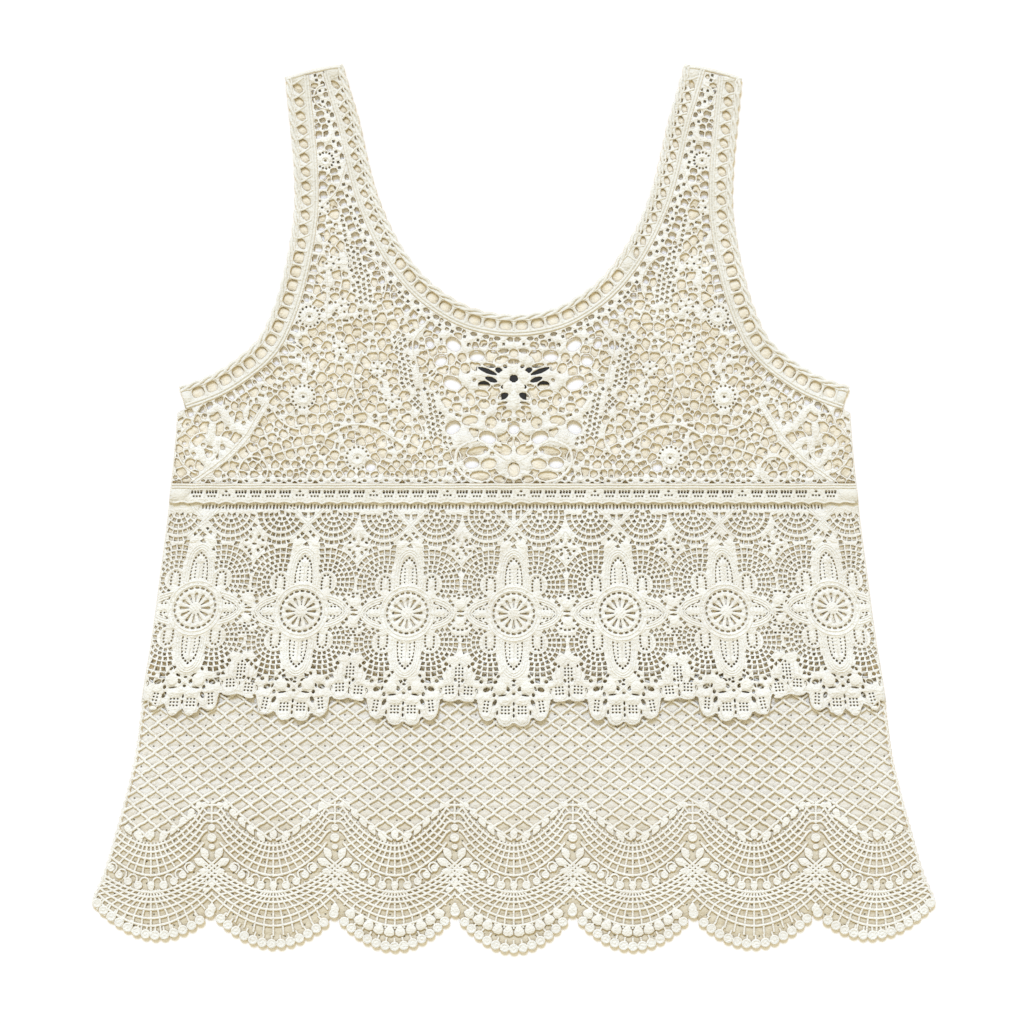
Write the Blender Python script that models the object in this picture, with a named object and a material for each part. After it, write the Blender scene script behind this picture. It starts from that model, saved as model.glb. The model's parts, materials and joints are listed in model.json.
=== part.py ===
# Crochet tank top in ivory cotton, laid flat with its front up.
# +X points to the wearer's left, +Y towards the shoulders and +Z up from the table.
# Tables and constants are in millimetres: "drop" runs down from the shoulder tip, "half" out from the centre line.

import math
from collections import namedtuple

import bmesh
import bpy
import numpy as np
from mathutils import Vector
from mathutils.geometry import delaunay_2d_cdt

MM = 0.001

# Overall sizes
LENGTH = 608.3
SEAM = 0.3
BACK_WALL = 1.5
FRONT_WALL = 1.5
TRIM_WALL = 2.0
BAND_WALL = 1.3
OVERLAP_GAP = 0.5

# The front lies a little clear of the back, and comes down on it along the outline
LOFT = 1.9
LOFT_REACH = 45.0

# Edgings: chained edge, then a row of ladder holes, then a double cord
NECK_TRIM = 14.0
ARM_TRIM = 15.5
NECK_PITCH = 10.0
NECK_HOLES = 21
ARM_PITCH = 9.8
ARM_HOLES = 23
LADDER_LENGTH = 7.8
NECK_LADDER = (4.2, 10.2)
ARM_LADDER = (4.6, 11.2)

# Heights of the seams, as drops
BAND_TOP = 286.5
BAND_SEAM = 293.0
BAND_BOTTOM = 300.0
PANEL_RISE_START = 398.0
PANEL_RISE_END = 414.0
SKIRT_TOP = 418.0
PANEL_CORNER = 436.3
BACK_SKIRT_TOP = 430.0
ROW_STEP = 20.0

# Cross motifs of the lace panel, in a row that bows up a little towards the sides
CROSS_PITCH = 72.8
CROSSES_EACH_SIDE = 3
CROSS_DROP = 375.8
CROSS_BOW = 4.0
CROSS_RELIEF = 0.8
CROSS_BEVEL = 1.6
CROSS_SIDE_MARGIN = 3.0

# Lobed lower edge of the lace panel: four long lobes under each cross and two short ones between
LOBE_BASE = 436.0
LOBE_BASE_BOW = 6.1
LOBE_REACH = 16.9
LOBE_REACH_LOSS = 3.4

# Blank woven label inside the back neck
LABEL_WIDTH = 50.0
LABEL_HEIGHT = 24.0
LABEL_WALL = 1.0
LABEL_DROP = 205.0

Point = namedtuple("Point", "drop half")
Gap = namedtuple("Gap", "half drop width height turn")
Crease = namedtuple("Crease", "half drop length width turn rise")
Bulge = namedtuple("Bulge", "along half")
Lobe = namedtuple("Lobe", "half reach dip")

# Right half of the outline, from the shoulder
NECK_EDGE = (
    Point(0.0, 117.0),
    Point(20.0, 111.2),
    Point(39.0, 105.6),
    Point(71.0, 98.4),
    Point(92.0, 92.2),
    Point(112.0, 83.6),
    Point(129.5, 73.4),
    Point(145.0, 61.0),
    Point(157.0, 46.5),
    Point(165.8, 30.5),
    Point(170.0, 14.5),
    Point(171.3, 0.0),
)
ARM_EDGE = (
    Point(8.9, 156.2),
    Point(38.0, 153.2),
    Point(66.0, 150.6),
    Point(92.0, 149.6),
    Point(109.0, 150.9),
    Point(126.0, 153.6),
    Point(145.0, 157.8),
    Point(162.0, 162.7),
    Point(181.5, 170.8),
    Point(192.0, 178.4),
    Point(201.5, 189.8),
    Point(209.8, 202.4),
    Point(215.4, 214.4),
    Point(220.6, 229.5),
)
SIDE_EDGE = (
    Point(220.6, 229.5),
    Point(249.3, 230.8),
    Point(287.0, 234.3),
    Point(317.8, 237.7),
    Point(348.7, 241.8),
    Point(389.8, 247.3),
    Point(436.3, 254.5),
    Point(473.3, 259.6),
    Point(499.4, 265.8),
    Point(528.1, 273.7),
    Point(552.8, 280.9),
    Point(573.0, 289.8),
)

# Hem: the notches between scallops, from the centre to the side, and how far each scallop hangs below them
NOTCHES = (Point(582.9, 40.4), Point(583.6, 122.3), Point(582.3, 206.5), Point(573.0, 289.8))
SCALLOP_DEPTHS = (25.4, 23.5, 22.0, 21.2)
SCALLOP_STEPS = 8

# See-through gaps of the centre motif, on the right half, and the one on the centre line
CENTRE_GAPS = (
    Gap(41.2, 191.5, 9.6, 7.0, 40.0),
    Gap(25.2, 199.4, 9.4, 6.2, 0.0),
    Gap(50.0, 202.2, 7.4, 6.4, 30.0),
    Gap(19.0, 211.0, 9.5, 4.6, 15.0),
    Gap(42.0, 218.0, 11.5, 7.4, -25.0),
    Gap(6.6, 227.2, 7.2, 5.0, 20.0),
    Gap(19.5, 219.8, 7.6, 4.6, -20.0),
    Gap(41.6, 248.4, 9.8, 7.0, 35.0),
    Gap(30.0, 243.6, 9.6, 5.2, 10.0),
    Gap(35.2, 256.4, 11.8, 8.6, 0.0),
    Gap(17.8, 255.2, 10.4, 7.2, -15.0),
    Gap(28.6, 272.3, 9.4, 6.4, 0.0),
    Gap(17.4, 271.6, 8.8, 6.4, 10.0),
    Gap(23.2, 281.9, 12.0, 7.6, 0.0),
)
MIDDLE_GAP = Gap(0.0, 248.6, 6.8, 7.4, 0.0)

# Largest cells of the irregular net, in rows beside the edgings
NET_CELL = 6.0
NET_ROW_OFFSET = 8.5
NECK_NET_START = 60.0
NECK_NET_PITCH = 21.0
NECK_NET_CELLS = 7
ARM_NET_START = 62.0
ARM_NET_PITCH = 22.0
ARM_NET_CELLS = 7

# One quarter of the cross motif between the tips of its petals, as distances across and along
CROSS_UP = 45.0
CROSS_OUT = 34.0
CROSS_QUARTER = (
    Bulge(37.0, 7.4),
    Bulge(26.5, 10.4),
    Bulge(17.4, 8.2),
    Bulge(12.6, 12.6),
    Bulge(8.2, 17.4),
    Bulge(9.3, 23.5),
    Bulge(6.2, 29.5),
)

# Half a repeat of the lobed edge, from under a cross: the share of the reach, and the dip between lobes
LOBE_EDGE = (
    Lobe(0.0, 0.78, 0.0),
    Lobe(1.9, 0.93, 0.0),
    Lobe(5.8, 1.0, 0.0),
    Lobe(9.8, 0.9, 0.0),
    Lobe(11.9, 0.6, 0.0),
    Lobe(14.0, 0.7, 0.0),
    Lobe(18.0, 0.78, 0.0),
    Lobe(22.4, 0.5, 0.0),
    Lobe(24.6, 0.0, 2.3),
    Lobe(27.0, 0.0, 0.7),
    Lobe(31.0, 0.0, 0.0),
    Lobe(34.6, 0.0, 0.7),
    Lobe(36.4, 0.0, 1.8),
)

# Soft ridges of the front where it lies loose, each with its centre, length, width, turn and rise
CREASES = (
    Crease(-150.0, 330.0, 150.0, 60.0, 75.0, 0.5),
    Crease(60.0, 350.0, 190.0, 70.0, 100.0, 0.4),
    Crease(160.0, 470.0, 170.0, 62.0, 70.0, 0.6),
    Crease(-60.0, 500.0, 160.0, 56.0, 95.0, 0.6),
    Crease(-190.0, 520.0, 120.0, 52.0, 110.0, 0.4),
    Crease(130.0, 250.0, 110.0, 55.0, 130.0, 0.4),
)

Finish = namedtuple("Finish", "colour roughness")
IVORY = Finish((0.84, 0.80, 0.69), 0.85)
IVORY_BACK = Finish((0.76, 0.71, 0.58), 0.88)
IVORY_CORD = Finish((0.87, 0.84, 0.74), 0.82)
LABEL_BLACK = Finish((0.012, 0.012, 0.014), 0.7)


# Plane curves


def smooth(rows, step):
    """Points (half, drop) along a Catmull-Rom curve through the rows, about step apart."""
    ends = [2 * np.array(rows[0]) - np.array(rows[1]), 2 * np.array(rows[-1]) - np.array(rows[-2])]
    knots = np.array([ends[0], *rows, ends[1]], float)[:, ::-1]
    line = []
    for a, b, c, d in zip(knots, knots[1:], knots[2:], knots[3:]):
        parts = max(1, round(np.linalg.norm(c - b) / step))
        for t in np.arange(parts) / parts:
            line.append(0.5 * (2 * b + (c - a) * t + (2 * a - 5 * b + 4 * c - d) * t**2
                               + (3 * b - a - 3 * c + d) * t**3))
    return np.array([*line, knots[-2]])


def normals(line):
    """Unit normals that point to the left of the way along the line, seen with the drop downwards."""
    way = np.gradient(line, axis=0)
    way /= np.linalg.norm(way, axis=1)[:, None]
    return np.stack([way[:, 1], -way[:, 0]], axis=1)


def offset(line, distance):
    return line + distance * normals(line)


def along(line, length, distance):
    """The point at this length along the line, moved off it by the distance."""
    runs = np.concatenate([[0], np.cumsum(np.linalg.norm(np.diff(line, axis=0), axis=1))])
    base = [np.interp(length, runs, line[:, k]) for k in (0, 1)]
    side = [np.interp(length, runs, normals(line)[:, k]) for k in (0, 1)]
    return np.array(base) + distance * np.array(side) / np.linalg.norm(side)


def mirrored(points):
    return [(-half, drop) for half, drop in points]


def both_sides(right_half):
    """A closed outline from its right half, which runs from the centre line at the top to the centre line below."""
    left = mirrored(right_half)[::-1]
    return [*map(tuple, right_half), *[p for p in left if abs(p[0]) > 0.01]]


SIDE_LINE = smooth(SIDE_EDGE, 6.0)


def side_half(drop):
    return float(np.interp(drop, SIDE_LINE[:, 1], SIDE_LINE[:, 0]))


def neck_half(step):
    """The right half of the neck edge, level where it crosses the centre line."""
    past_centre = Point(NECK_EDGE[-2].drop, -NECK_EDGE[-2].half)
    line = smooth((*NECK_EDGE, past_centre), step)
    return line[line[:, 0] > -0.01]


def side_points(start, end, step):
    """Points of the side edge between two drops, both included."""
    count = max(1, math.ceil((end - start) / step))
    return [(side_half(drop), drop) for drop in np.linspace(start, end, count + 1)]


def level_row(drop, limit, step=ROW_STEP):
    """Points of a level line from the centre line out to the limit, which it leaves out."""
    return [(x, drop) for x in np.arange(0.0, limit - 0.3 * step, step)]


def hem_points():
    """The scalloped hem from the side corner to the centre line."""
    edges = [Point(NOTCHES[0].drop, -NOTCHES[0].half), *NOTCHES]
    points = []
    for inner, outer, depth in reversed(list(zip(edges, edges[1:], SCALLOP_DEPTHS))):
        for t in np.arange(SCALLOP_STEPS) / SCALLOP_STEPS:
            half = outer.half + (inner.half - outer.half) * t
            drop = outer.drop + (inner.drop - outer.drop) * t + depth * math.sin(math.pi * t) ** 0.8
            points.append((half, drop))
    return [p for p in points if p[0] > 0.01] + [(0.0, NOTCHES[0].drop + SCALLOP_DEPTHS[0])]


def garment_outline():
    """The whole outer outline, which sets how the front lies on the back."""
    neck = neck_half(12.0)[::-1]
    arm = smooth(ARM_EDGE, 12.0)
    return both_sides([*neck, *arm, *side_points(225.0, 565.0, 20.0), *hem_points()])


# How the front lies


def edge_distance(half, drop, outline):
    starts = np.array(outline)
    ways = np.roll(starts, -1, axis=0) - starts
    to_point = np.array([half, drop]) - starts
    shares = np.clip((to_point * ways).sum(1) / (ways**2).sum(1), 0, 1)
    return float(np.linalg.norm(to_point - shares[:, None] * ways, axis=1).min())


def eased(value):
    t = min(max(value, 0.0), 1.0)
    return t * t * (3 - 2 * t)


OUTLINE = garment_outline()


def crease_rise(half, drop):
    rise = 0.0
    for crease in CREASES:
        turn = math.radians(crease.turn)
        dx, dy = half - crease.half, drop - crease.drop
        lengthways = (dx * math.cos(turn) + dy * math.sin(turn)) / (0.5 * crease.length)
        across = (dy * math.cos(turn) - dx * math.sin(turn)) / (0.5 * crease.width)
        rise += crease.rise * math.exp(-lengthways**2 - across**2)
    return rise


def front_base(half, drop):
    """Underside of the front layer above the table."""
    share = eased(edge_distance(half, drop, OUTLINE) / LOFT_REACH)
    return BACK_WALL + SEAM + share * (LOFT + crease_rise(half, drop))


def back_base(half, drop):
    return 0.0


def band_base(half, drop):
    return front_base(half, drop) + FRONT_WALL + OVERLAP_GAP


def panel_base(half, drop):
    share = (drop - PANEL_RISE_START) / (PANEL_RISE_END - PANEL_RISE_START)
    return front_base(half, drop) + eased(share) * (FRONT_WALL + OVERLAP_GAP)


def label_base(half, drop):
    return BACK_WALL + SEAM


# Outlines of the pieces


def neck_line():
    """The whole neck edge from the right shoulder round to the left one."""
    right = neck_half(11.0)
    return np.array([*right, *mirrored(right[:-1])[::-1]])


def neck_trim_outline():
    line = neck_line()
    return [*map(tuple, line), *map(tuple, offset(line, NECK_TRIM - SEAM / 2)[::-1])]


def arm_line():
    return smooth(ARM_EDGE, 11.0)


def arm_seam(distance):
    """The line where the armhole edging meets the yoke, run on to the side edge."""
    line = offset(arm_line(), -distance)
    line = line[line[:, 0] < side_half(line[-1][1]) - 4.0]
    way = line[-1] - line[-2]
    reach = (side_half(line[-1][1]) - line[-1][0]) / way[0]
    return [*map(tuple, line), tuple(line[-1] + reach * way)]


def arm_trim_outline():
    seam = arm_seam(ARM_TRIM - SEAM / 2)
    sides = side_points(ARM_EDGE[-1].drop, seam[-1][1], 9.0)[1:-1]
    return [*map(tuple, arm_line()), *sides, *seam[::-1]]


def yoke_outline(bottom):
    neck = offset(neck_line(), NECK_TRIM + SEAM / 2)
    right = neck[: len(neck) // 2 + 1][::-1]
    seam = arm_seam(ARM_TRIM + SEAM / 2)
    sides = side_points(seam[-1][1], bottom, 20.0)[1:]
    base = level_row(bottom, side_half(bottom))[::-1]
    return both_sides([*map(tuple, right), *seam, *sides, *base])


def band_outline():
    top, bottom = BAND_TOP, BAND_BOTTOM
    middle = [(side_half(BAND_SEAM), BAND_SEAM)]
    return both_sides([*level_row(top, side_half(top)), (side_half(top), top), *middle,
                       (side_half(bottom), bottom), *level_row(bottom, side_half(bottom))[::-1]])


def flared(half, drop):
    """Where a point of the lace panel lies, given its place at the crosses' height: the panel flares downwards."""
    return half * side_half(drop) / side_half(CROSS_DROP)


def lobed_edge():
    """The lobed lower edge of the lace panel from the side to the centre line."""
    limit = side_half(PANEL_CORNER) - 3.0
    outermost = CROSSES_EACH_SIDE * CROSS_PITCH
    points = []
    for cross in range(CROSSES_EACH_SIDE + 1):
        outer = [(cross * CROSS_PITCH + lobe.half, lobe) for lobe in LOBE_EDGE]
        inner = [(cross * CROSS_PITCH - lobe.half, lobe) for lobe in LOBE_EDGE[:0:-1]] if cross else []
        for half, lobe in (*inner, *outer):
            bow = (half / outermost) ** 2
            reach = lobe.reach * (LOBE_REACH - LOBE_REACH_LOSS * bow)
            points.append((flared(half, PANEL_CORNER), LOBE_BASE - LOBE_BASE_BOW * bow + reach - lobe.dip))
    clear = [p for p, following in zip(points, [*points[1:], (math.inf, 0.0)]) if following[0] - p[0] > 0.1]
    return [p for p in clear if p[0] < limit][::-1]


def panel_outline():
    top = BAND_SEAM + SEAM
    sides = [*side_points(top, PANEL_RISE_START, 18.0), *side_points(PANEL_RISE_START, PANEL_RISE_END, 6.0)[1:],
             *side_points(PANEL_RISE_END, PANEL_CORNER, 12.0)[1:]]
    return both_sides([*level_row(top, side_half(top)), *sides, *lobed_edge()])


def back_panel_outline():
    top, bottom = BAND_BOTTOM + SEAM, BACK_SKIRT_TOP - SEAM
    return both_sides([*level_row(top, side_half(top)), *side_points(top, bottom, 20.0),
                       *level_row(bottom, side_half(bottom))[::-1]])


def skirt_outline(top):
    corner = NOTCHES[-1].drop
    return both_sides([*level_row(top, side_half(top)), *side_points(top, corner, 14.0)[:-1], *hem_points()])


def label_outline():
    half = LABEL_WIDTH / 2
    low = LABEL_DROP + LABEL_HEIGHT
    return [(-half, LABEL_DROP), (half, LABEL_DROP), (half, low), (-half, low)]


# Holes and relief


def ladder(line, first, count, pitch, band, distance_sign):
    """Four-sided ladder holes along an edging, between two distances from its edge."""
    holes = []
    for index in range(count):
        middle = first + index * pitch
        corners = []
        for shift, reach in ((-0.5, band[0]), (0.5, band[0]), (0.5, band[1]), (-0.5, band[1])):
            corners.append(tuple(along(line, middle + shift * LADDER_LENGTH, distance_sign * reach)))
        holes.append(corners)
    return holes


def neck_ladder():
    line = neck_half(4.0)[::-1]
    right = ladder(line, 0.5 * NECK_PITCH, NECK_HOLES, NECK_PITCH, NECK_LADDER, -1)
    return right + [mirrored(hole) for hole in right]


def arm_ladder():
    return ladder(smooth(ARM_EDGE, 4.0), 0.9 * ARM_PITCH, ARM_HOLES, ARM_PITCH, ARM_LADDER, -1)


def round_gap(gap, sides):
    turn = math.radians(gap.turn)
    corners = []
    for angle in (2 * math.pi * k / sides for k in range(sides)):
        across, down = 0.5 * gap.width * math.cos(angle), 0.5 * gap.height * math.sin(angle)
        corners.append((gap.half + across * math.cos(turn) - down * math.sin(turn),
                        gap.drop + across * math.sin(turn) + down * math.cos(turn)))
    return corners


def net_row(line, start, pitch, count, distance):
    """Cells of the irregular net in a row that follows an edging."""
    cells = []
    for index in range(count):
        half, drop = along(line, start + index * pitch, distance)
        size = NET_CELL * (1.0 + 0.18 * math.sin(2.3 * index))
        cells.append(Gap(half, drop, size * 1.25, size * 0.95, 37.0 * index))
    return cells


def yoke_holes():
    neck = net_row(neck_half(4.0), NECK_NET_START, NECK_NET_PITCH, NECK_NET_CELLS,
                   NECK_TRIM + NET_ROW_OFFSET)
    arm = net_row(smooth(ARM_EDGE, 4.0), ARM_NET_START, ARM_NET_PITCH, ARM_NET_CELLS,
                  -(ARM_TRIM + NET_ROW_OFFSET))
    right = [round_gap(gap, 6) for gap in (*CENTRE_GAPS, *neck, *arm)]
    return right + [mirrored(hole) for hole in right] + [round_gap(MIDDLE_GAP, 6)]


def cross_outline(centre, middle_drop):
    """The corded edge of one cross motif: four petals and the ring that joins them."""
    quarter = [(0.8, CROSS_UP), *((bulge.half, bulge.along) for bulge in CROSS_QUARTER), (CROSS_OUT, 0.8)]
    loop = []
    for across_sign, up_sign in ((1, 1), (1, -1), (-1, -1), (-1, 1)):
        part = quarter if across_sign == up_sign else quarter[::-1]
        for across, up in part:
            drop = middle_drop - up_sign * up
            limit = side_half(drop) - CROSS_SIDE_MARGIN
            half = flared(centre + across_sign * across, drop)
            loop.append((max(-limit, min(limit, half)), drop))
    return loop


def crosses():
    """For each cross motif, its edge at the panel's surface and the edge of its raised face."""
    pairs = []
    for index in range(-CROSSES_EACH_SIDE, CROSSES_EACH_SIDE + 1):
        middle_drop = CROSS_DROP - CROSS_BOW * (index / CROSSES_EACH_SIDE) ** 2
        edge = cross_outline(index * CROSS_PITCH, middle_drop)
        middle = np.array([np.mean([p[0] for p in edge]), middle_drop])
        raised = []
        for point in np.array(edge):
            way = point - middle
            raised.append(tuple(point - way / np.linalg.norm(way) * CROSS_BEVEL))
        pairs.append((edge, raised))
    return pairs


# Walls


def inside(point, loop):
    """Whether the point lies inside the loop, by counting the edges that a ray crosses."""
    x, y = point
    crossed = False
    for (x1, y1), (x2, y2) in zip(loop, [*loop[1:], loop[0]]):
        if (y1 > y) != (y2 > y) and x < x1 + (y - y1) / (y2 - y1) * (x2 - x1):
            crossed = not crossed
    return crossed


def filling(outline, keep_clear, step, levels):
    """Inner points on a staggered grid, clear of the outline and of the loops."""
    corners = np.array(outline)
    lows, highs = corners.min(0), corners.max(0)
    rows = [drop for drop in np.arange(lows[1] + step, highs[1], step)
            if all(abs(drop - level) > 0.4 * step for level in levels)]
    loops = [np.array(loop) for loop in keep_clear]
    found = []
    for row, drop in enumerate(sorted([*rows, *levels])):
        start = -step * math.floor(highs[0] / step) + (0.5 * step if row % 2 else 0.0)
        for half in np.arange(start, highs[0], step):
            near = any(np.linalg.norm(loop - (half, drop), axis=1).min() < 0.3 * step for loop in loops)
            if near or any(inside((half, drop), loop) for loop in keep_clear):
                continue
            if inside((half, drop), outline) and edge_distance(half, drop, outline) > 0.35 * step:
                found.append((float(half), float(drop)))
    return found


def anticlockwise(loop):
    """The loop in the direction that the triangulation takes."""
    half, drop = np.array(loop).T
    area = (half * np.roll(drop, -1) - np.roll(half, -1) * drop).sum()
    return loop if area > 0 else loop[::-1]


def triangulate(outline, holes, raised, fill):
    """A triangulation of the outline without its holes: its points, its faces and which points are raised."""
    points, loops, lifted = [], [], set()
    for loop in (outline, *holes, *(edge for pair in raised for edge in pair)):
        loops.append(list(range(len(points), len(points) + len(loop))))
        points.extend(anticlockwise(loop))
    faces = loops[: 1 + len(holes)]
    edges = []
    for number, loop in enumerate(loops[1 + len(holes):]):
        edges.extend(zip(loop, [*loop[1:], loop[0]]))
        if number % 2:
            lifted.update(loop)
    flat = [Vector(p) for p in (*points, *fill)]
    places, _, triangles, sources, _, owners = delaunay_2d_cdt(flat, edges, faces, 1, 1e-4)
    kept = [tuple(t) for t, owner in zip(triangles, owners) if owner == [0]]
    marks = [any(k in lifted for k in source) for source in sources]
    return places, kept, marks


def material(name, finish):
    made = bpy.data.materials.get(name) or bpy.data.materials.new(name)
    made.use_nodes = True
    shader = made.node_tree.nodes["Principled BSDF"]
    shader.inputs["Base Color"].default_value = (*finish.colour, 1.0)
    shader.inputs["Roughness"].default_value = finish.roughness
    shader.inputs["Metallic"].default_value = 0.0
    return made


def wall(name, outline, base, thickness, finish, holes=(), raised=(), levels=(), fill_step=0.0):
    """A cloth wall: its outline and holes triangulated, laid on the base heights and extruded upwards."""
    clear = [*holes, *(pair[0] for pair in raised)]
    fill = filling(outline, clear, fill_step, levels) if fill_step else []
    places, faces, marks = triangulate(outline, holes, raised, fill)
    work = bmesh.new()
    high = work.verts.layers.int.new("raised")
    verts = []
    for (half, drop), mark in zip(places, marks):
        vert = work.verts.new((half * MM, (LENGTH / 2 - drop) * MM, base(half, drop) * MM))
        vert[high] = int(mark)
        verts.append(vert)
    for face in faces:
        work.faces.new([verts[k] for k in face])
    bmesh.ops.delete(work, geom=[v for v in work.verts if not v.link_faces], context="VERTS")
    grown = bmesh.ops.extrude_face_region(work, geom=work.faces[:])
    for vert in grown["geom"]:
        if isinstance(vert, bmesh.types.BMVert):
            vert.co.z += (thickness + CROSS_RELIEF * vert[high]) * MM
    bmesh.ops.recalc_face_normals(work, faces=work.faces[:])
    mesh = bpy.data.meshes.new(name)
    work.to_mesh(mesh)
    work.free()
    mesh.materials.append(material(name + "_cloth", finish))
    piece = bpy.data.objects.new(name, mesh)
    bpy.data.collections["crochet_top"].objects.link(piece)
    return piece


def build_yokes():
    holes = yoke_holes()
    wall("yoke_front", yoke_outline(BAND_SEAM), front_base, FRONT_WALL, IVORY, holes, fill_step=24.0)
    wall("yoke_back", yoke_outline(BAND_TOP - SEAM), back_base, BACK_WALL, IVORY_BACK, holes)


def build_edgings():
    """Neck edging in one piece a side, armhole edging in two."""
    for side, base, thickness, finish in (("front", front_base, TRIM_WALL, IVORY_CORD),
                                          ("back", back_base, BACK_WALL, IVORY_BACK)):
        wall("neck_trim_" + side, neck_trim_outline(), base, thickness, finish, neck_ladder())
        holes = arm_ladder()
        wall("armhole_trim_left_" + side, arm_trim_outline(), base, thickness, finish, holes)
        wall("armhole_trim_right_" + side, mirrored(arm_trim_outline()), base, thickness, finish,
             [mirrored(hole) for hole in holes])


def build_bands():
    wall("band_front", band_outline(), band_base, BAND_WALL, IVORY_CORD)
    wall("band_back", band_outline(), back_base, BACK_WALL, IVORY_BACK)


def build_lace_panels():
    levels = (PANEL_RISE_START, PANEL_RISE_END, SKIRT_TOP)
    wall("lace_panel_front", panel_outline(), panel_base, FRONT_WALL, IVORY, raised=crosses(), levels=levels,
         fill_step=ROW_STEP)
    wall("lace_panel_back", back_panel_outline(), back_base, BACK_WALL, IVORY_BACK)


def build_skirts():
    wall("skirt_front", skirt_outline(SKIRT_TOP), front_base, FRONT_WALL, IVORY, levels=(PANEL_CORNER,),
         fill_step=ROW_STEP)
    wall("skirt_back", skirt_outline(BACK_SKIRT_TOP), back_base, BACK_WALL, IVORY_BACK)


def build_label():
    wall("neck_label", label_outline(), label_base, LABEL_WALL, LABEL_BLACK)


def main():
    for old in list(bpy.data.objects):
        bpy.data.objects.remove(old, do_unlink=True)
    garment = bpy.data.collections.new("crochet_top")
    bpy.context.scene.collection.children.link(garment)
    build_yokes()
    build_edgings()
    build_bands()
    build_lace_panels()
    build_skirts()
    build_label()


main()
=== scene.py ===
import json
import math

import bpy
import numpy as np
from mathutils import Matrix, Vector
from mathutils.geometry import delaunay_2d_cdt

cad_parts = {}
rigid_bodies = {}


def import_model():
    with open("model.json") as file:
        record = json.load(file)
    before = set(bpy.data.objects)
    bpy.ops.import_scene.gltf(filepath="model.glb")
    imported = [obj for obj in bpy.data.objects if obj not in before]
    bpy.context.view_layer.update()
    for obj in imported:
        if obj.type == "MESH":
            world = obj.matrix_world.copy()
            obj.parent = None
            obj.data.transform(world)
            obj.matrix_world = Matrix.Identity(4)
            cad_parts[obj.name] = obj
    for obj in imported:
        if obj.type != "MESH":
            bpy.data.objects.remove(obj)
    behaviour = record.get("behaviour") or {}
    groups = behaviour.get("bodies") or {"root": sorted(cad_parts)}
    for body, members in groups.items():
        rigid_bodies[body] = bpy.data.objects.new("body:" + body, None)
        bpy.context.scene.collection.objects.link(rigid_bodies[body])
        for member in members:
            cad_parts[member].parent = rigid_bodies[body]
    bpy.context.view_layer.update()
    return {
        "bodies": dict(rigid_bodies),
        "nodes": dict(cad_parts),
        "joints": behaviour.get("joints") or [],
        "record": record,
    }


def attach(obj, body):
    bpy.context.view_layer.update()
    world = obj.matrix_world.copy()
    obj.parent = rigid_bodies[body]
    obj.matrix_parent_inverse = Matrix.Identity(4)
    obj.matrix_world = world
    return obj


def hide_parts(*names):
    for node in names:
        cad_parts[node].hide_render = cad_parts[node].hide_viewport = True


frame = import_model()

# A crochet tank top laid flat. All drawing is in millimetres seen from above: x to the wearer's left,
# y towards the shoulders. "drop" runs down from the shoulder tip and "half" out from the centre line.
mm = 0.001

garment = {
    "length": 608.3,
    "seam": 0.3,
    "backWall": 1.5,
    "frontWall": 1.5,
    "overlap": 0.5,
    "loft": 0.2,  # how far the front lies clear of the back
    "loftReach": 45.0,
    "crossPitch": 72.8,
    "crossDrop": 375.8,
    "crossBow": 4.0,
    "panelRise": 398.0,  # the drop where the panel starts to lie over the skirt
    "panelRiseLength": 16.0,
}
outlineRows = {  # (drop, half) of the right half
    "neck": ((0, 117), (20, 111.2), (39, 105.6), (71, 98.4), (92, 92.2), (112, 83.6), (129.5, 73.4),
             (145, 61), (157, 46.5), (165.8, 30.5), (170, 14.5), (171.3, 0)),
    "arm": ((8.9, 156.2), (38, 153.2), (66, 150.6), (92, 149.6), (109, 150.9), (126, 153.6), (145, 157.8),
            (162, 162.7), (181.5, 170.8), (192, 178.4), (201.5, 189.8), (209.8, 202.4), (215.4, 214.4),
            (220.6, 229.5)),
    "side": ((220.6, 229.5), (249.3, 230.8), (287, 234.3), (317.8, 237.7), (348.7, 241.8), (389.8, 247.3),
             (436.3, 254.5), (473.3, 259.6), (499.4, 265.8), (528.1, 273.7), (552.8, 280.9), (573, 289.8)),
    "notches": ((582.9, 40.4), (583.6, 122.3), (582.3, 206.5), (573, 289.8)),
}
scallopDepths = (25.4, 23.5, 22.0, 21.2)
creases = (  # half, drop, length, width, turn, rise
    (-150, 330, 150, 60, 75, 0.5),
    (60, 350, 190, 70, 100, 0.4),
    (160, 470, 170, 62, 70, 0.6),
    (-60, 500, 160, 56, 95, 0.6),
    (-190, 520, 120, 52, 110, 0.4),
    (130, 250, 110, 55, 130, 0.4),
)


def up(drop):
    return garment["length"] / 2 - drop


def plan(rows):
    return np.array([(half, up(drop)) for drop, half in rows], float)


def smoothLine(points, step):
    points = np.asarray(points, float)
    knots = np.vstack([2 * points[0] - points[1], points, 2 * points[-1] - points[-2]])
    line = []
    for a, b, c, d in zip(knots, knots[1:], knots[2:], knots[3:]):
        parts = max(1, round(np.linalg.norm(c - b) / step))
        t = (np.arange(parts) / parts)[:, None]
        line.append(0.5 * (2 * b + (c - a) * t + (2 * a - 5 * b + 4 * c - d) * t**2
                           + (3 * b - a - 3 * c + d) * t**3))
    return np.vstack([*line, points[-1:]])


def runs(line):
    return np.concatenate([[0], np.cumsum(np.linalg.norm(np.diff(line, axis=0), axis=1))])


def pick(rows, length, at):  # what the rows say at these lengths
    return np.stack([np.interp(at, length, column) for column in rows.T], axis=-1)


def evenLine(line, step):
    line = np.asarray(line, float)
    length = runs(line)
    return pick(line, length, np.linspace(0, length[-1], max(2, round(length[-1] / step) + 1)))


def leftWay(line):
    way = np.gradient(line, axis=0)
    way /= np.linalg.norm(way, axis=1)[:, None]
    return np.stack([-way[:, 1], way[:, 0]], axis=1)


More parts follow.
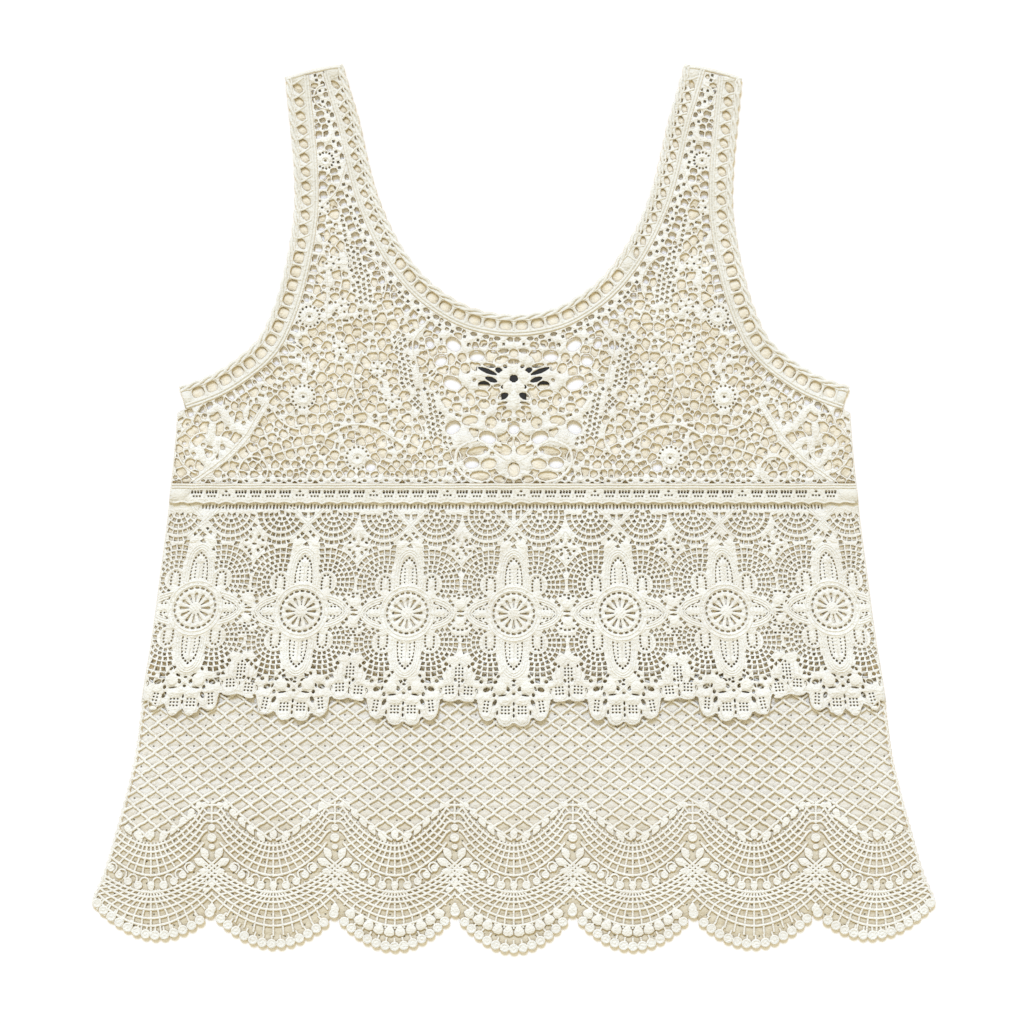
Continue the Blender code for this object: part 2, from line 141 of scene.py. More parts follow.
def beside(line, at, off):  # points this far along a line and off to its left, with its direction there
    at, off = np.broadcast_arrays(np.atleast_1d(np.asarray(at, float)), off)
    length = runs(line)
    side = pick(leftWay(line), length, at)
    side /= np.linalg.norm(side, axis=1)[:, None]
    return pick(line, length, at) + off[:, None] * side, np.arctan2(-side[:, 0], side[:, 1])


def level(xs, y):
    return np.column_stack([xs, np.full(len(xs), y)])


def closed(loop):
    return np.vstack([loop, loop[:1]])


def stretches(keep, least):  # runs of kept points that are longer than this, by number
    groups = np.split(np.arange(len(keep)), np.flatnonzero(np.diff(keep.astype(int))) + 1)
    return [part for part in groups if len(part) > least and keep[part[0]]]


def gridAt(grid, i, j):  # a grid's value between its points
    i, j = np.clip(i, 0, grid.shape[0] - 1.001), np.clip(j, 0, grid.shape[1] - 1.001)
    a, b = i.astype(int), j.astype(int)
    u, v = i - a, j - b
    return ((1 - u) * (1 - v) * grid[a, b] + u * (1 - v) * grid[a + 1, b]
            + (1 - u) * v * grid[a, b + 1] + u * v * grid[a + 1, b + 1])


def mirrored(points):
    return np.asarray(points, float)[::-1] * (-1, 1)


def turned(points, angle):
    c, s = math.cos(angle), math.sin(angle)
    return np.asarray(points, float) @ np.array([[c, s], [-s, c]])


def oval(x, y, a, b, turn=0.0, sides=12, power=2.0):
    t = 2 * math.pi * (np.arange(sides) + 0.5) / sides
    c, s = np.cos(t), np.sin(t)
    reach = (np.abs(c) ** power + np.abs(s) ** power) ** (-1 / power)
    return turned(np.stack([a * c * reach, b * s * reach], axis=1), turn) + (x, y)


def insideOf(points, loop):
    x, y = np.asarray(points, float).T
    found = np.zeros(len(x), bool)
    for (x1, y1), (x2, y2) in zip(loop, np.roll(loop, -1, axis=0)):
        if y1 != y2:
            found ^= ((y1 > y) != (y2 > y)) & (x < x1 + (y - y1) / (y2 - y1) * (x2 - x1))
    return found


sideLine = smoothLine(plan(outlineRows["side"]), 6.0)


def sideAt(y):
    return np.interp(-np.asarray(y, float), -sideLine[:, 1], sideLine[:, 0])


neckPoints = plan(outlineRows["neck"])
rightNeck = smoothLine(np.vstack([neckPoints, neckPoints[-2] * (-1, 1)]), 2.5)
rightNeck = rightNeck[rightNeck[:, 0] > -0.01]
neckLine = evenLine(np.vstack([rightNeck, mirrored(rightNeck)[1:]]), 2.0)  # cloth lies on its left
armLine = evenLine(smoothLine(plan(outlineRows["arm"]), 2.5)[::-1], 2.0)  # from the armpit up, cloth on its left


def hemLine(step):  # the scalloped hem from the right corner to the left one
    rows = outlineRows["notches"]
    edges = [(rows[0][0], -rows[0][1]), *rows]
    line = []
    for (dropIn, halfIn), (dropOut, halfOut), depth in reversed(list(zip(edges, edges[1:], scallopDepths))):
        t = np.arange(step) / step
        drop = dropOut + (dropIn - dropOut) * t + depth * np.sin(np.pi * t) ** 0.8
        line.append(np.stack([halfOut + (halfIn - halfOut) * t, up(drop)], axis=1))
    right = np.vstack(line)
    right = np.vstack([right[right[:, 0] > 0.01], [(0.0, up(rows[0][0] + scallopDepths[0]))]])
    return np.vstack([right, mirrored(right)[1:]])


def sidePoints(start, end, step):
    drops = np.linspace(start, end, max(2, math.ceil(abs(end - start) / step) + 1))
    return np.stack([sideAt(up(drops)), up(drops)], axis=1)


def garmentOutline():
    right = np.vstack([rightNeck[::-4], armLine[::-4], sidePoints(225, 565, 20), hemLine(8)[:28]])
    right = right[right[:, 0] > 0.01]
    return np.vstack([right, mirrored(right)])


def eased(value):
    t = np.clip(value, 0, 1)
    return t * t * (3 - 2 * t)


gridStep, gridHalfX, gridHalfY = 4.0, 312, 324
gridX, gridY = np.meshgrid(np.arange(-gridHalfX, gridHalfX + 1, gridStep),
                           np.arange(-gridHalfY, gridHalfY + 1, gridStep), indexing="ij")


def frontHeights():
    loop = garmentOutline()
    spots = np.stack([gridX.ravel(), gridY.ravel()], axis=1)
    nearest = np.full(len(spots), 1e9)
    for start, end in zip(loop, np.roll(loop, -1, axis=0)):
        way = end - start
        share = np.clip(((spots - start) @ way) / max(way @ way, 1e-9), 0, 1)
        nearest = np.minimum(nearest, np.linalg.norm(spots - start - share[:, None] * way, axis=1))
    nearest[~insideOf(spots, loop)] = 0
    rise = np.full(len(spots), garment["loft"])
    for half, drop, length, width, turn, lift in creases:
        local = turned(spots - (half, up(drop)), math.radians(turn))
        rise += lift * np.exp(-(local[:, 0] / (0.5 * length)) ** 2 - (local[:, 1] / (0.5 * width)) ** 2)
    height = garment["backWall"] + garment["seam"] + eased(nearest / garment["loftReach"]) * rise
    return height.reshape(gridX.shape)


frontGrid = frontHeights()


def frontBase(x, y):
    return gridAt(frontGrid, (np.asarray(x) + gridHalfX) / gridStep, (np.asarray(y) + gridHalfY) / gridStep)


def bandBase(x, y):
    return frontBase(x, y) + garment["frontWall"] + garment["overlap"]


def panelBase(x, y):
    share = eased((up(garment["panelRise"]) - np.asarray(y)) / garment["panelRiseLength"])
    return frontBase(x, y) + share * (garment["frontWall"] + garment["overlap"])


def backBase(x, y):
    return np.zeros(len(np.asarray(x)))


# the room left for holes: the distance to the nearest cord, pad or edge, on a fine grid
roomStep, roomMost = 0.5, 6.0
roomOrigin, roomSize = np.array([-318.0, -326.0]), (1273, 1305)


def roomInside(outline, guard):
    room = np.full(roomSize, roomMost, np.float32)
    keepLine(room, closed(outline), guard)
    return room


def keepOval(room, x, y, a, b, turn=0.0, reach=3.5):
    size = max(a, b) + reach
    low = np.maximum(((np.array([x, y]) - size - roomOrigin) / roomStep).astype(int), 0)
    high = np.minimum(((np.array([x, y]) + size - roomOrigin) / roomStep).astype(int) + 2, room.shape)
    if (high <= low).any():
        return
    u = roomOrigin[0] + roomStep * np.arange(low[0], high[0])[:, None] - x
    v = roomOrigin[1] + roomStep * np.arange(low[1], high[1])[None, :] - y
    if a == b:
        distance = np.sqrt(u * u + v * v) - a
    else:
        c, s = math.cos(turn), math.sin(turn)
        along, across = (u * c + v * s) / a, (v * c - u * s) / b
        distance = (np.sqrt(along**2 + across**2) - 1) * min(a, b)
    part = room[low[0]:high[0], low[1]:high[1]]
    np.minimum(part, distance, out=part)


def keepLine(room, line, halfWidth, reach=3.5):
    for x, y in evenLine(line, 0.9):
        keepOval(room, x, y, halfWidth, halfWidth, 0.0, reach)


def roomAt(room, points):
    return gridAt(room, *((points - roomOrigin) / roomStep).T)


# a seed is x, y, half sizes a and b, turn, sides, thread beside it and how domed its upper side is
def mirrorSeeds(seeds):
    return [(-x, y, a, b, math.pi - turn, *rest) for x, y, a, b, turn, *rest in seeds if abs(x) > 0.6]


def thinned(loop):  # without the points that lie on the straight between their neighbours
    for times in range(3):
        ahead, behind = np.roll(loop, -1, axis=0), np.roll(loop, 1, axis=0)
        way = ahead - behind
        bow = np.abs(way[:, 0] * (loop - behind)[:, 1] - way[:, 1] * (loop - behind)[:, 0])
        flat = bow < 0.07 * np.linalg.norm(way, axis=1)
        flat[::2] = False
        loop = loop[~flat]
    return loop


def growHoles(seeds, room, sharp=6.0, least=0.42):
    # each seed becomes a soft-cornered hole inside its own size, its neighbours' and the room
    data = np.array(seeds, float)
    data = data[roomAt(room, data[:, :2]) > least]
    spots, a, b, turn = data[:, :2], data[:, 2], data[:, 3], data[:, 4]
    sides, thread, dome = data[:, 5].astype(int), data[:, 6], data[:, 7]
    net = delaunay_2d_cdt([Vector(p) for p in spots.tolist()], [], [], 0, 1e-4, True)
    pairs = np.array([source[0] for source in net[3]])[np.array(net[1])]
    pairs = np.vstack([pairs, pairs[:, ::-1]])
    way = spots[pairs[:, 1]] - spots[pairs[:, 0]]
    apart = np.linalg.norm(way, axis=1)
    size = np.minimum(0.5 * (a + b), 2.3)
    gap = np.minimum(thread[pairs[:, 0]], thread[pairs[:, 1]])
    share = 0.5 * (apart + size[pairs[:, 0]] - size[pairs[:, 1]])
    share = np.maximum(np.clip(share, 0.28 * apart, 0.72 * apart) - 0.5 * gap, 0.2)
    facing = np.arctan2(way[:, 1], way[:, 0])
    loops, bevels = [None] * len(data), 0.36 * thread
    for count in np.unique(sides):
        mine = np.flatnonzero(sides == count)
        row = np.full(len(data), -1)
        row[mine] = np.arange(len(mine))
        shift = 0.5 if count == 4 else 0.0
        angle = turn[mine, None] + 2 * math.pi * (np.arange(count) + shift) / count
        local = angle - turn[mine, None]
        total = ((np.abs(np.cos(local)) / a[mine, None]) ** sharp
                 + (np.abs(np.sin(local)) / b[mine, None]) ** sharp)
        flat = np.maximum(-np.sin(angle), 0) * dome[mine, None] / np.minimum(a, b)[mine, None]
        total += flat**sharp
        used = np.flatnonzero(row[pairs[:, 0]] >= 0)
        at = row[pairs[used, 0]]
        lean = np.maximum(np.cos(angle[at] - facing[used, None]), 0) / share[used, None]
        np.add.at(total, at, lean**sharp)
        reach = total ** (-1 / sharp)
        wide = np.where(np.cos(angle) > 0, (reach * np.cos(angle)).max(axis=1)[:, None],
                        (-reach * np.cos(angle)).max(axis=1)[:, None])
        tall = np.maximum((reach * np.sin(angle)).max(axis=1)[:, None], 0.3)
        arch = ((np.abs(np.cos(angle)) / np.maximum(wide, 0.3)) ** 2.3
                + (np.abs(np.sin(angle)) / tall) ** 2.3) ** (-1 / 2.3)
        arched = (np.sin(angle) > 0) & (dome[mine, None] > 0)  # a cell's upper side is an arch
        reach = np.where(arched, np.minimum(reach, 1.04 * arch), reach)
        ray = np.stack([np.cos(angle), np.sin(angle)], axis=2)
        best = np.ones_like(reach)
        for part in (1.0, 0.88, 0.76, 0.64, 0.52, 0.4, 0.3):
            tip = spots[mine, None] + ray * (reach * part)[:, :, None]
            free = roomAt(room, tip.reshape(-1, 2)).reshape(reach.shape) > 0
            best = np.where(free, best, np.minimum(best, part - 0.1))
        reach = reach * best
        around = 0.5 * (np.roll(reach, 1, axis=1) + np.roll(reach, -1, axis=1))
        reach = np.minimum(reach, 1.5 * around)
        loop = spots[mine, None] + ray * reach[:, :, None]
        for k, name in enumerate(mine):
            if reach[k].min() > 0.24 and reach[k].mean() > least:
                loops[name] = thinned(loop[k]) if count > 12 else loop[k]
    return [(loop, spots[k], bevels[k]) for k, loop in enumerate(loops) if loop is not None]


def cyclic(a, b, c):
    return ((a < b) & (b < c)) | ((b < c) & (c < a)) | ((c < a) & (a < b))


def loopEdges(loops):  # where each loop starts, and the edges round all of them
    starts = np.cumsum([0, *[len(loop) for loop in loops]])
    ahead = np.arange(starts[-1]) + 1
    ahead[starts[1:] - 1] = starts[:-1]
    return starts, np.stack([np.arange(starts[-1]), ahead], axis=1)


def fillPlane(loops):  # triangles between an outline and the holes in it; all loops run anticlockwise
    starts, edges = loopEdges(loops)
    owner = np.repeat(np.arange(len(loops)), np.diff(starts))
    points = [Vector(p) for p in np.vstack(loops).tolist()]
    net = delaunay_2d_cdt(points, edges.tolist(), [], 0, 1e-5, True)
    faces = np.array([source[0] if source else -1 for source in net[3]])[np.array(net[2])]
    crossed = faces[(faces < 0).any(axis=1)].max(axis=1)
    clashing = np.unique(owner[crossed[crossed >= 0]])  # loops that cross another one
    faces = faces[(faces >= 0).all(axis=1)]
    mine = owner[faces]
    same = (mine[:, 0] == mine[:, 1]) & (mine[:, 1] == mine[:, 2])
    forward = cyclic(*faces.T)
    outer = mine[:, 0] == 0
    keep = ~same | (outer == forward)  # also fills the notches in a hole's edge
    return faces[keep], set(clashing.tolist()) - {0}


def fitHoles(holes, outline, gap=0.55):
    # the holes that lie wholly inside the outline and clear of the ones listed before them
    rim, kept = roomInside(outline, gap), []
    good = insideOf(np.vstack([hole[0] for hole in holes]), outline)
    start = 0
    for loop, middle, edge in holes:
        inside = good[start:start + len(loop)].all()
        start += len(loop)
        if inside and (roomAt(rim, np.vstack([loop, [middle]])) > 0).all():
            kept.append((loop, middle, edge))
            claim(rim, loop, middle, gap)
    return kept


def claim(room, loop, middle, thread):  # other holes stay a thread's width away from this one
    size = np.linalg.norm(loop - middle, axis=1).min()
    keepOval(room, *middle, size, size, 0.0, 3.0)
    for x, y in evenLine(closed(loop), 0.8):
        keepOval(room, x, y, thread, thread, 0.0, 2.5)


def makeObject(name, verts, faces):
    mesh = bpy.data.meshes.new(name)
    mesh.from_pydata(verts.tolist(), [], faces)
    mesh.update()
    made = bpy.data.objects.new(name, mesh)
    bpy.context.scene.collection.objects.link(made)
    return made


def outWay(loop):  # unit ways out of a loop that runs anticlockwise
    way = np.roll(loop, -1, axis=0) - np.roll(loop, 1, axis=0)
    way /= np.maximum(np.linalg.norm(way, axis=1), 1e-9)[:, None]
    return np.stack([way[:, 1], -way[:, 0]], axis=1)


def lacePlate(name, outline, holes, base, thickness, bevel):
    # a lace wall whose holes are cut through with sloping sides, so that threads look round
    rims = [outline - outWay(outline) * bevel]
    for loop, middle, edge in holes:
        way = loop - middle
        rims.append(middle + way * (1 + min(bevel, edge) / np.linalg.norm(way, axis=1)[:, None]))
    inside = insideOf(np.vstack(rims), rims[0] - outWay(rims[0]) * 0.1)
    ends = np.cumsum([len(rim) for rim in rims])
    keep = [k for k in range(len(holes)) if inside[ends[k]:ends[k + 1]].all()]
    loops, rims = [outline, *[holes[k][0] for k in keep]], [rims[0], *[rims[k + 1] for k in keep]]
    for tries in range(9):
        highFaces, clashing = fillPlane(rims)
        if not clashing:
            break
        stay = [k for k in range(len(rims)) if k not in clashing]
        loops, rims = [loops[k] for k in stay], [rims[k] for k in stay]
    lowFaces = fillPlane(loops)[0]
    low, high = np.vstack(loops), np.vstack(rims)
    starts, edges = loopEdges(loops)
    walls = np.column_stack([edges, edges[:, ::-1] + len(low)])
    walls[starts[1]:] = walls[starts[1]:, ::-1]
    verts = np.vstack([np.column_stack([low, base(*low.T)]), np.column_stack([high, base(*high.T) + thickness])]) * mm
    return makeObject(name, verts, [*lowFaces[:, ::-1].tolist(), *(highFaces + len(low)).tolist(), *walls.tolist()])


def deselect():
    bpy.ops.object.select_all(action="DESELECT")


def cords(name, lines, radius, base, lift, sides=1, low=1.0):
    # cords laid along lines, drawn as bevelled curves and converted; low is their height against their width
    curve = bpy.data.curves.new(name, "CURVE")
    curve.dimensions = "3D"
    curve.bevel_depth = radius * mm
    curve.bevel_resolution = sides
    curve.use_fill_caps = True
    for line in lines:
        line = np.asarray(line, float)
        height = base(line[:, 0], line[:, 1]) + lift
        if line.shape[1] > 2:
            height = height + line[:, 2]
        points = np.column_stack([line[:, :2], height / low]) * mm
        spline = curve.splines.new("POLY")
        spline.points.add(len(points) - 1)
        spline.points.foreach_set("co", np.column_stack([points, np.ones(len(points))]).ravel())
    made = bpy.data.objects.new(name, curve)
    bpy.context.scene.collection.objects.link(made)
    deselect()
    made.select_set(True)
    bpy.context.view_layer.objects.active = made
    bpy.ops.object.convert(target="MESH")
    made = bpy.context.view_layer.objects.active
    made.scale.z = low
    bpy.ops.object.transform_apply(location=False, rotation=False, scale=True)
    return made


def template(shape):  # one small domed form, modelled once and then copied
    deselect()
    if shape == "ring":
        bpy.ops.mesh.primitive_torus_add(major_segments=12, minor_segments=5, major_radius=0.7, minor_radius=0.3)
    elif shape == "bead":  # a round bead with a sunk ring, spun from its section
        rings = ((0.86, -0.5), (1.0, 0.1), (0.92, 0.55), (0.74, 0.8), (0.54, 0.4), (0.36, 0.34), (0.16, 0.66))
        t = 2 * math.pi * np.arange(14) / 14
        points = np.vstack([np.column_stack([r * np.cos(t), r * np.sin(t), np.full(14, z)]) for r, z in rings])
        faces = [[14 * j + i, 14 * j + (i + 1) % 14, 14 * j + 14 + (i + 1) % 14, 14 * j + 14 + i]
                 for j in range(len(rings) - 1) for i in range(14)]
        return points, [list(range(14))[::-1], *faces, [14 * (len(rings) - 1) + i for i in range(14)]]
    else:
        bpy.ops.mesh.primitive_uv_sphere_add(segments=10, ring_count=6, radius=1.0)
    made = bpy.context.active_object
    points = np.array([v.co for v in made.data.vertices])
    if shape == "leaf":  # pointed at both ends
        points[:, 1] *= np.sqrt(np.maximum(1 - np.abs(points[:, 0]) ** 1.6, 0.02)) * 1.05
    if shape == "petal":  # narrow at its root
        points[:, 1] *= 0.62 + 0.38 * points[:, 0]
    points[points[:, 2] < 0, 2] *= 0.35
    faces = sorted(list(face.vertices) for face in made.data.polygons)  # the sphere's own order varies
    bpy.data.objects.remove(made, do_unlink=True)
    return points, faces


templates = {shape: template(shape) for shape in ("pad", "leaf", "petal", "ring", "bead")}


def copies(name, shape, rows, base, lift):  # copies of a template, each row x, y, length, width, turn, height
    points, faces = templates[shape]
    rows = np.array(rows, float)
    c, s = np.cos(rows[:, 4])[:, None], np.sin(rows[:, 4])[:, None]
    along, across = points[None, :, 0] * rows[:, 2:3] / 2, points[None, :, 1] * rows[:, 3:4] / 2
    x, y = rows[:, 0:1] + along * c - across * s, rows[:, 1:2] + along * s + across * c
    z = base(rows[:, 0], rows[:, 1])[:, None] + lift + points[None, :, 2] * rows[:, 5:6]
    verts = np.stack([x, y, z], axis=2).reshape(-1, 3) * mm
    return makeObject(name, verts, [[i + k * len(points) for i in face] for k in range(len(rows)) for face in faces])


def joinParts(name, parts, material, node):
    deselect()
    for part in parts:
        part.select_set(True)
    bpy.context.view_layer.objects.active = parts[0]
    if len(parts) > 1:
        bpy.ops.object.join()
    piece = bpy.context.view_layer.objects.active
    piece.name = name
    piece.data.name = name
    piece.data.materials.clear()
    piece.data.materials.append(material)
    bpy.ops.object.shade_smooth()
    deselect()
    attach(piece, "root")
    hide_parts(node)
    print(f"{name}: {sum(len(p.vertices) - 2 for p in piece.data.polygons)} triangles")
    return piece


def finishPiece(name, sheet, material, node, outline, trims=(), flat=None):
    # a sheet of lace, and the cords, pads and beads that are worked on it
    piece = joinParts(name, sheet, material, node)
    x, y = outline.T
    area = abs(0.5 * (x * np.roll(y, -1) - np.roll(x, -1) * y).sum()) * mm * mm
    width, length = flat or (np.ptp(outline, axis=0) * mm).tolist()
    length = max(length, area / width)  # a curved strip is cut a little longer
    onIt = [joinParts(name + "_cords", trims, material, node)] if trims else []


def linear(code):
    parts = [int(code[k:k + 2], 16) / 255 for k in (1, 3, 5)]
    return (*[v / 12.92 if v <= 0.04045 else ((v + 0.055) / 1.055) ** 2.4 for v in parts], 1.0)


def addNode(tree, kind, settings=None, links=None):
    node = tree.nodes.new(kind)
    for key, value in (settings or {}).items():
        if isinstance(key, int) or key in node.inputs:
            node.inputs[key].default_value = value
        else:
            setattr(node, key, value)
    for key, output in (links or {}).items():
        tree.links.new(output, node.inputs[key])
    return node


def cottonThread(name, settings):  # twisted from plies, with a soft sheen and slight shade changes
    made = bpy.data.materials.new(name)
    made.use_nodes = True
    tree = made.node_tree
    tree.nodes.clear()
    out = addNode(tree, "ShaderNodeOutputMaterial")
    shader = addNode(tree, "ShaderNodeBsdfPrincipled", {
        "Roughness": settings["roughness"], "Sheen Weight": 0.25, "Sheen Roughness": 0.5, "IOR": 1.5,
        "Specular IOR Level": 0.3})
    place = addNode(tree, "ShaderNodeTexCoord")
    patches = addNode(tree, "ShaderNodeTexNoise", {"Scale": 1 / 0.03, "Detail": 3.0, "Roughness": 0.6},
                      {"Vector": place.outputs["Object"]})  # shade changes about 30 mm across
    stipple = addNode(tree, "ShaderNodeTexNoise", {"Scale": 1 / 0.0016, "Detail": 2.0, "Roughness": 0.6},
                      {"Vector": place.outputs["Object"]})  # plies about 0.8 mm apart
    blend = addNode(tree, "ShaderNodeMath", {"operation": "MULTIPLY_ADD", 1: 0.55},
                    {0: stipple.outputs["Fac"], 2: patches.outputs["Fac"]})
    ramp = addNode(tree, "ShaderNodeValToRGB", links={"Fac": blend.outputs[0]})
    ramp.color_ramp.elements[0].position = 0.45
    ramp.color_ramp.elements[0].color = linear(settings["shade"])
    ramp.color_ramp.elements[1].color = linear(settings["colour"])
    # painted shade: the thread's colour turns tan where its surface faces away from up
    facing = addNode(tree, "ShaderNodeSeparateXYZ", links={"Vector": place.outputs["Normal"]})
    inside = addNode(tree, "ShaderNodeMapRange", {"From Min": 0.5, "From Max": 0.0},
                     {"Value": facing.outputs["Z"]})  # painted shade: the sides that face sideways or down, into a hole, are tinted tan as though in shade
    paintedHoleShade = addNode(tree, "ShaderNodeMix", {"data_type": "RGBA", 7: linear(settings["inside"])},
                   {0: inside.outputs["Result"], 6: ramp.outputs["Color"]})
    colour = paintedHoleShade.outputs[2]
    if "paintedTierShade" in settings:  # painted shade: the back layer is tinted tan below the tiers' top, as though shaded under the shells
        spot = addNode(tree, "ShaderNodeSeparateXYZ", links={"Vector": place.outputs["Object"]})
        lower = addNode(tree, "ShaderNodeMapRange",
                        {"From Min": up(502) * mm, "From Max": up(534) * mm, "To Max": 0.5},
                        {"Value": spot.outputs["Y"]})
        paintedTierShading = addNode(tree, "ShaderNodeMix", {"data_type": "RGBA", 7: linear(settings["paintedTierShade"])},
                        {0: lower.outputs["Result"], 6: colour})
        colour = paintedTierShading.outputs[2]
    tree.links.new(colour, shader.inputs["Base Color"])
    bump = addNode(tree, "ShaderNodeBump", {"Strength": settings["bump"], "Distance": 0.0011},
                   {"Height": stipple.outputs["Fac"]})
    tree.links.new(bump.outputs["Normal"], shader.inputs["Normal"])
    tree.links.new(shader.outputs["BSDF"], out.inputs["Surface"])
    return made


# each thread's inside colour is the tan painted shade that is laid on the walls of holes
threads = {
    "front": cottonThread("Ivory cotton crochet thread", {
        "colour": "#F2F2EB", "shade": "#E7E4DA", "inside": "#DCC388", "roughness": 0.8, "bump": 1.0}),
    "cord": cottonThread("Ivory cotton cord", {
        "colour": "#EEEDE5", "shade": "#DFDCCF", "inside": "#DCC38A", "roughness": 0.78, "bump": 0.8}),
    # the skirt's back layer carries a tan painted shade over the part under the tiers of shells
    "shellBack": cottonThread("Ivory cotton thread inside face of the skirt", {
        "colour": "#EDEBE3", "shade": "#E1DED3", "inside": "#D2BA80", "roughness": 0.88, "bump": 0.7,
        "paintedTierShade": "#CBBB8C"}),
    # back layer: a little darker than the front as its own colour, and also tinted warmer as painted shade, so the
    # holes that show it look tan
    "back": cottonThread("Ivory cotton thread inside face", {
        "colour": "#F4EEDD", "shade": "#E4DBC2", "inside": "#D2BA80", "roughness": 0.88, "bump": 0.7}),
}
print("base and materials ready")

# neck and armhole edgings: chained edge, ladder of holes, double cord
edging = {
    "neckWidth": 13.85,
    "armWidth": 15.35,
    "neckMiddle": 7.35,  # of the ladder, from the edge
    "armMiddle": 7.8,
    "neckPitch": 10.0,
    "neckStrapPitch": 8.5,
    "armPitch": 9.5,
    "plate": 1.4,
    "chainRadius": 1.15,  # of the two strands that twist round each other along the edge
    "chainSwing": 1.25,
    "innerRadius": 0.72,
    "doubleRadius": 0.98,
    "postRadius": 0.86,
    "postStart": 3.4,  # from the edge
    "postInset": 3.0,
    "neckSwitch": 88.0,  # along from the centre, where the ladder turns into two slanted rows
    "armSwitch": 118.0,
}


def edgingHoles(line, total, starts, middle, slanted, neck):  # arched ladder holes, then slanted ones
    holes = []
    for number, (start, pitch) in enumerate(zip(starts, np.gradient(starts))):
        grow = 1 + 0.05 * math.sin(2.7 * number)
        if slanted(start) and neck:  # along, across, half sizes, lean, squareness
            forms = [(start, middle + 1.1, 4.0 * grow, 1.8, 0.5, 1.5),
                     (start + 0.5 * pitch, middle - 3.2, 2.1, 1.2, -0.5, 1.6)]
        elif slanted(start):
            forms = [(start, middle, 4.5 * grow, 2.6, 0.62, 1.5)]
        else:
            forms = [(start, middle, (0.5 * pitch - 0.9) * grow, 3.0 if neck else 3.2, 0.0, 5.0)]
        for along, across, a, b, lean, power in forms:
            if 3.0 < along < total - 3.0:
                point, angle = beside(line, along, across)
                loop = oval(0, 0, a, b, 0.0, 16, power)
                if not slanted(start):  # the side towards the chained edge is arched
                    outward = loop[:, 1] < 0
                    loop[outward, 1] *= 1.12 - 0.34 * (loop[outward, 0] / a) ** 2
                holes.append((turned(loop, lean + angle[0]) + point[0], point[0], 0.42))
    return holes


def edgingPiece(name, line, starts, slanted, front):  # along a line that has the cloth on its left
    neck, total, node = name.startswith("neck"), runs(line)[-1], name.replace("edging", "trim")
    width, middle = (edging[("neck" if neck else "arm") + size] for size in ("Width", "Middle"))
    along = np.arange(0, total + 0.01, 1.1)
    turns = np.interp(along, starts, np.arange(len(starts)), left=-1, right=len(starts))
    turns = np.where(along < starts[0], (along - starts[0]) / 9.0, turns)
    turns = np.where(along > starts[-1], len(starts) - 1 + (along - starts[-1]) / 9.0, turns)
    swing = np.cos(math.pi * turns)  # one bulge for each hole
    bulge = np.abs(swing) ** 0.8
    outer = beside(line, along, 2.0 - 1.1 * bulge)[0]
    inner = beside(line, np.linspace(0, total, round(total / 3)), width)[0]
    if not neck:
        inner = inner[np.abs(inner[:, 0]) < sideAt(inner[:, 1]) - 0.2]
    outline, flat = np.vstack([outer, inner[::-1]]), (width * mm, total * mm)
    if not front:  # its ladder lies behind the posts of the front's
        holes = [(oval(*point, 1.3, 1.7, angle, 8), point, 0.35)
                 for point, angle in zip(*beside(line, starts[1:] - 0.5 * np.diff(starts), middle))]
        plate = lacePlate(name, outline, holes, backBase, garment["backWall"], 0.4)
        finishPiece(name, [plate], threads["back"], node, outline, (), flat)
        return
    holes = edgingHoles(line, total, starts, middle, slanted, neck)
    plate = lacePlate(name, outline, holes, frontBase, edging["plate"], 0.4)
    strands = [np.column_stack([beside(line, along, 1.9 - sign * edging["chainSwing"] * swing)[0],
                                0.55 * sign * np.sin(math.pi * turns)]) for sign in (1, -1)]
    steady = np.arange(0, total + 0.01, 2.4)
    lines = [beside(line, steady, width - depth)[0] for depth in (2.1, 0.15)]
    if not neck:
        lines = [row[np.abs(row[:, 0]) < sideAt(row[:, 1]) - 0.3] for row in lines]
    posts = []
    for start, pitch in zip(starts, np.gradient(starts)):
        at, lean = start - 0.5 * pitch, 2.2 if slanted(start) else 0.0
        spots = np.array([at + lean, at + 0.2 * lean, at - lean])
        if spots.min() > 1 and spots.max() < total - 1:
            near, far = edging["postStart"], width - edging["postInset"]
            posts.append(beside(line, spots, np.array([near, 0.5 * (near + far), far]))[0])
    arches = [beside(line, along, 4.2 - 0.8 * bulge)[0]]
    parts = [cords("chain", strands, edging["chainRadius"], frontBase, 1.0),
             cords("arches", arches, edging["innerRadius"], frontBase, edging["plate"]),
             cords("double", lines, edging["doubleRadius"], frontBase, 1.15),
             cords("posts", posts, edging["postRadius"], frontBase, 1.1)]
    finishPiece(name, [plate], threads["cord"], node, outline, parts, flat)


def makeEdgings():
    middle = runs(neckLine)[-1] / 2
    steps = np.arange(0.5, 9.0) * edging["neckPitch"]
    steps = np.append(steps, np.arange(steps[-1] + 9.2, middle - 4, edging["neckStrapPitch"]))
    neckStarts = np.concatenate([middle - steps[::-1], middle + steps])
    armTotal = runs(armLine)[-1]
    armStarts = armTotal - 8.4 - edging["armPitch"] * np.arange(25)[::-1]
    armStarts = armStarts[armStarts > 5]

    def neckSlanted(at):
        return abs(at - middle) > edging["neckSwitch"]

    def leftSlanted(at):
        return at > armTotal - edging["armSwitch"]

    def rightSlanted(at):
        return at < edging["armSwitch"]

    for side in ("front", "back"):
        for place, line, starts, slanted in (
                ("neck_edging_", neckLine, neckStarts, neckSlanted),
                ("armhole_edging_left_", armLine, armStarts, leftSlanted),
                ("armhole_edging_right_", mirrored(armLine), armTotal - armStarts[::-1], rightSlanted)):
            edgingPiece(place + side, line, starts, slanted, side == "front")


makeEdgings()
print("edgings made")

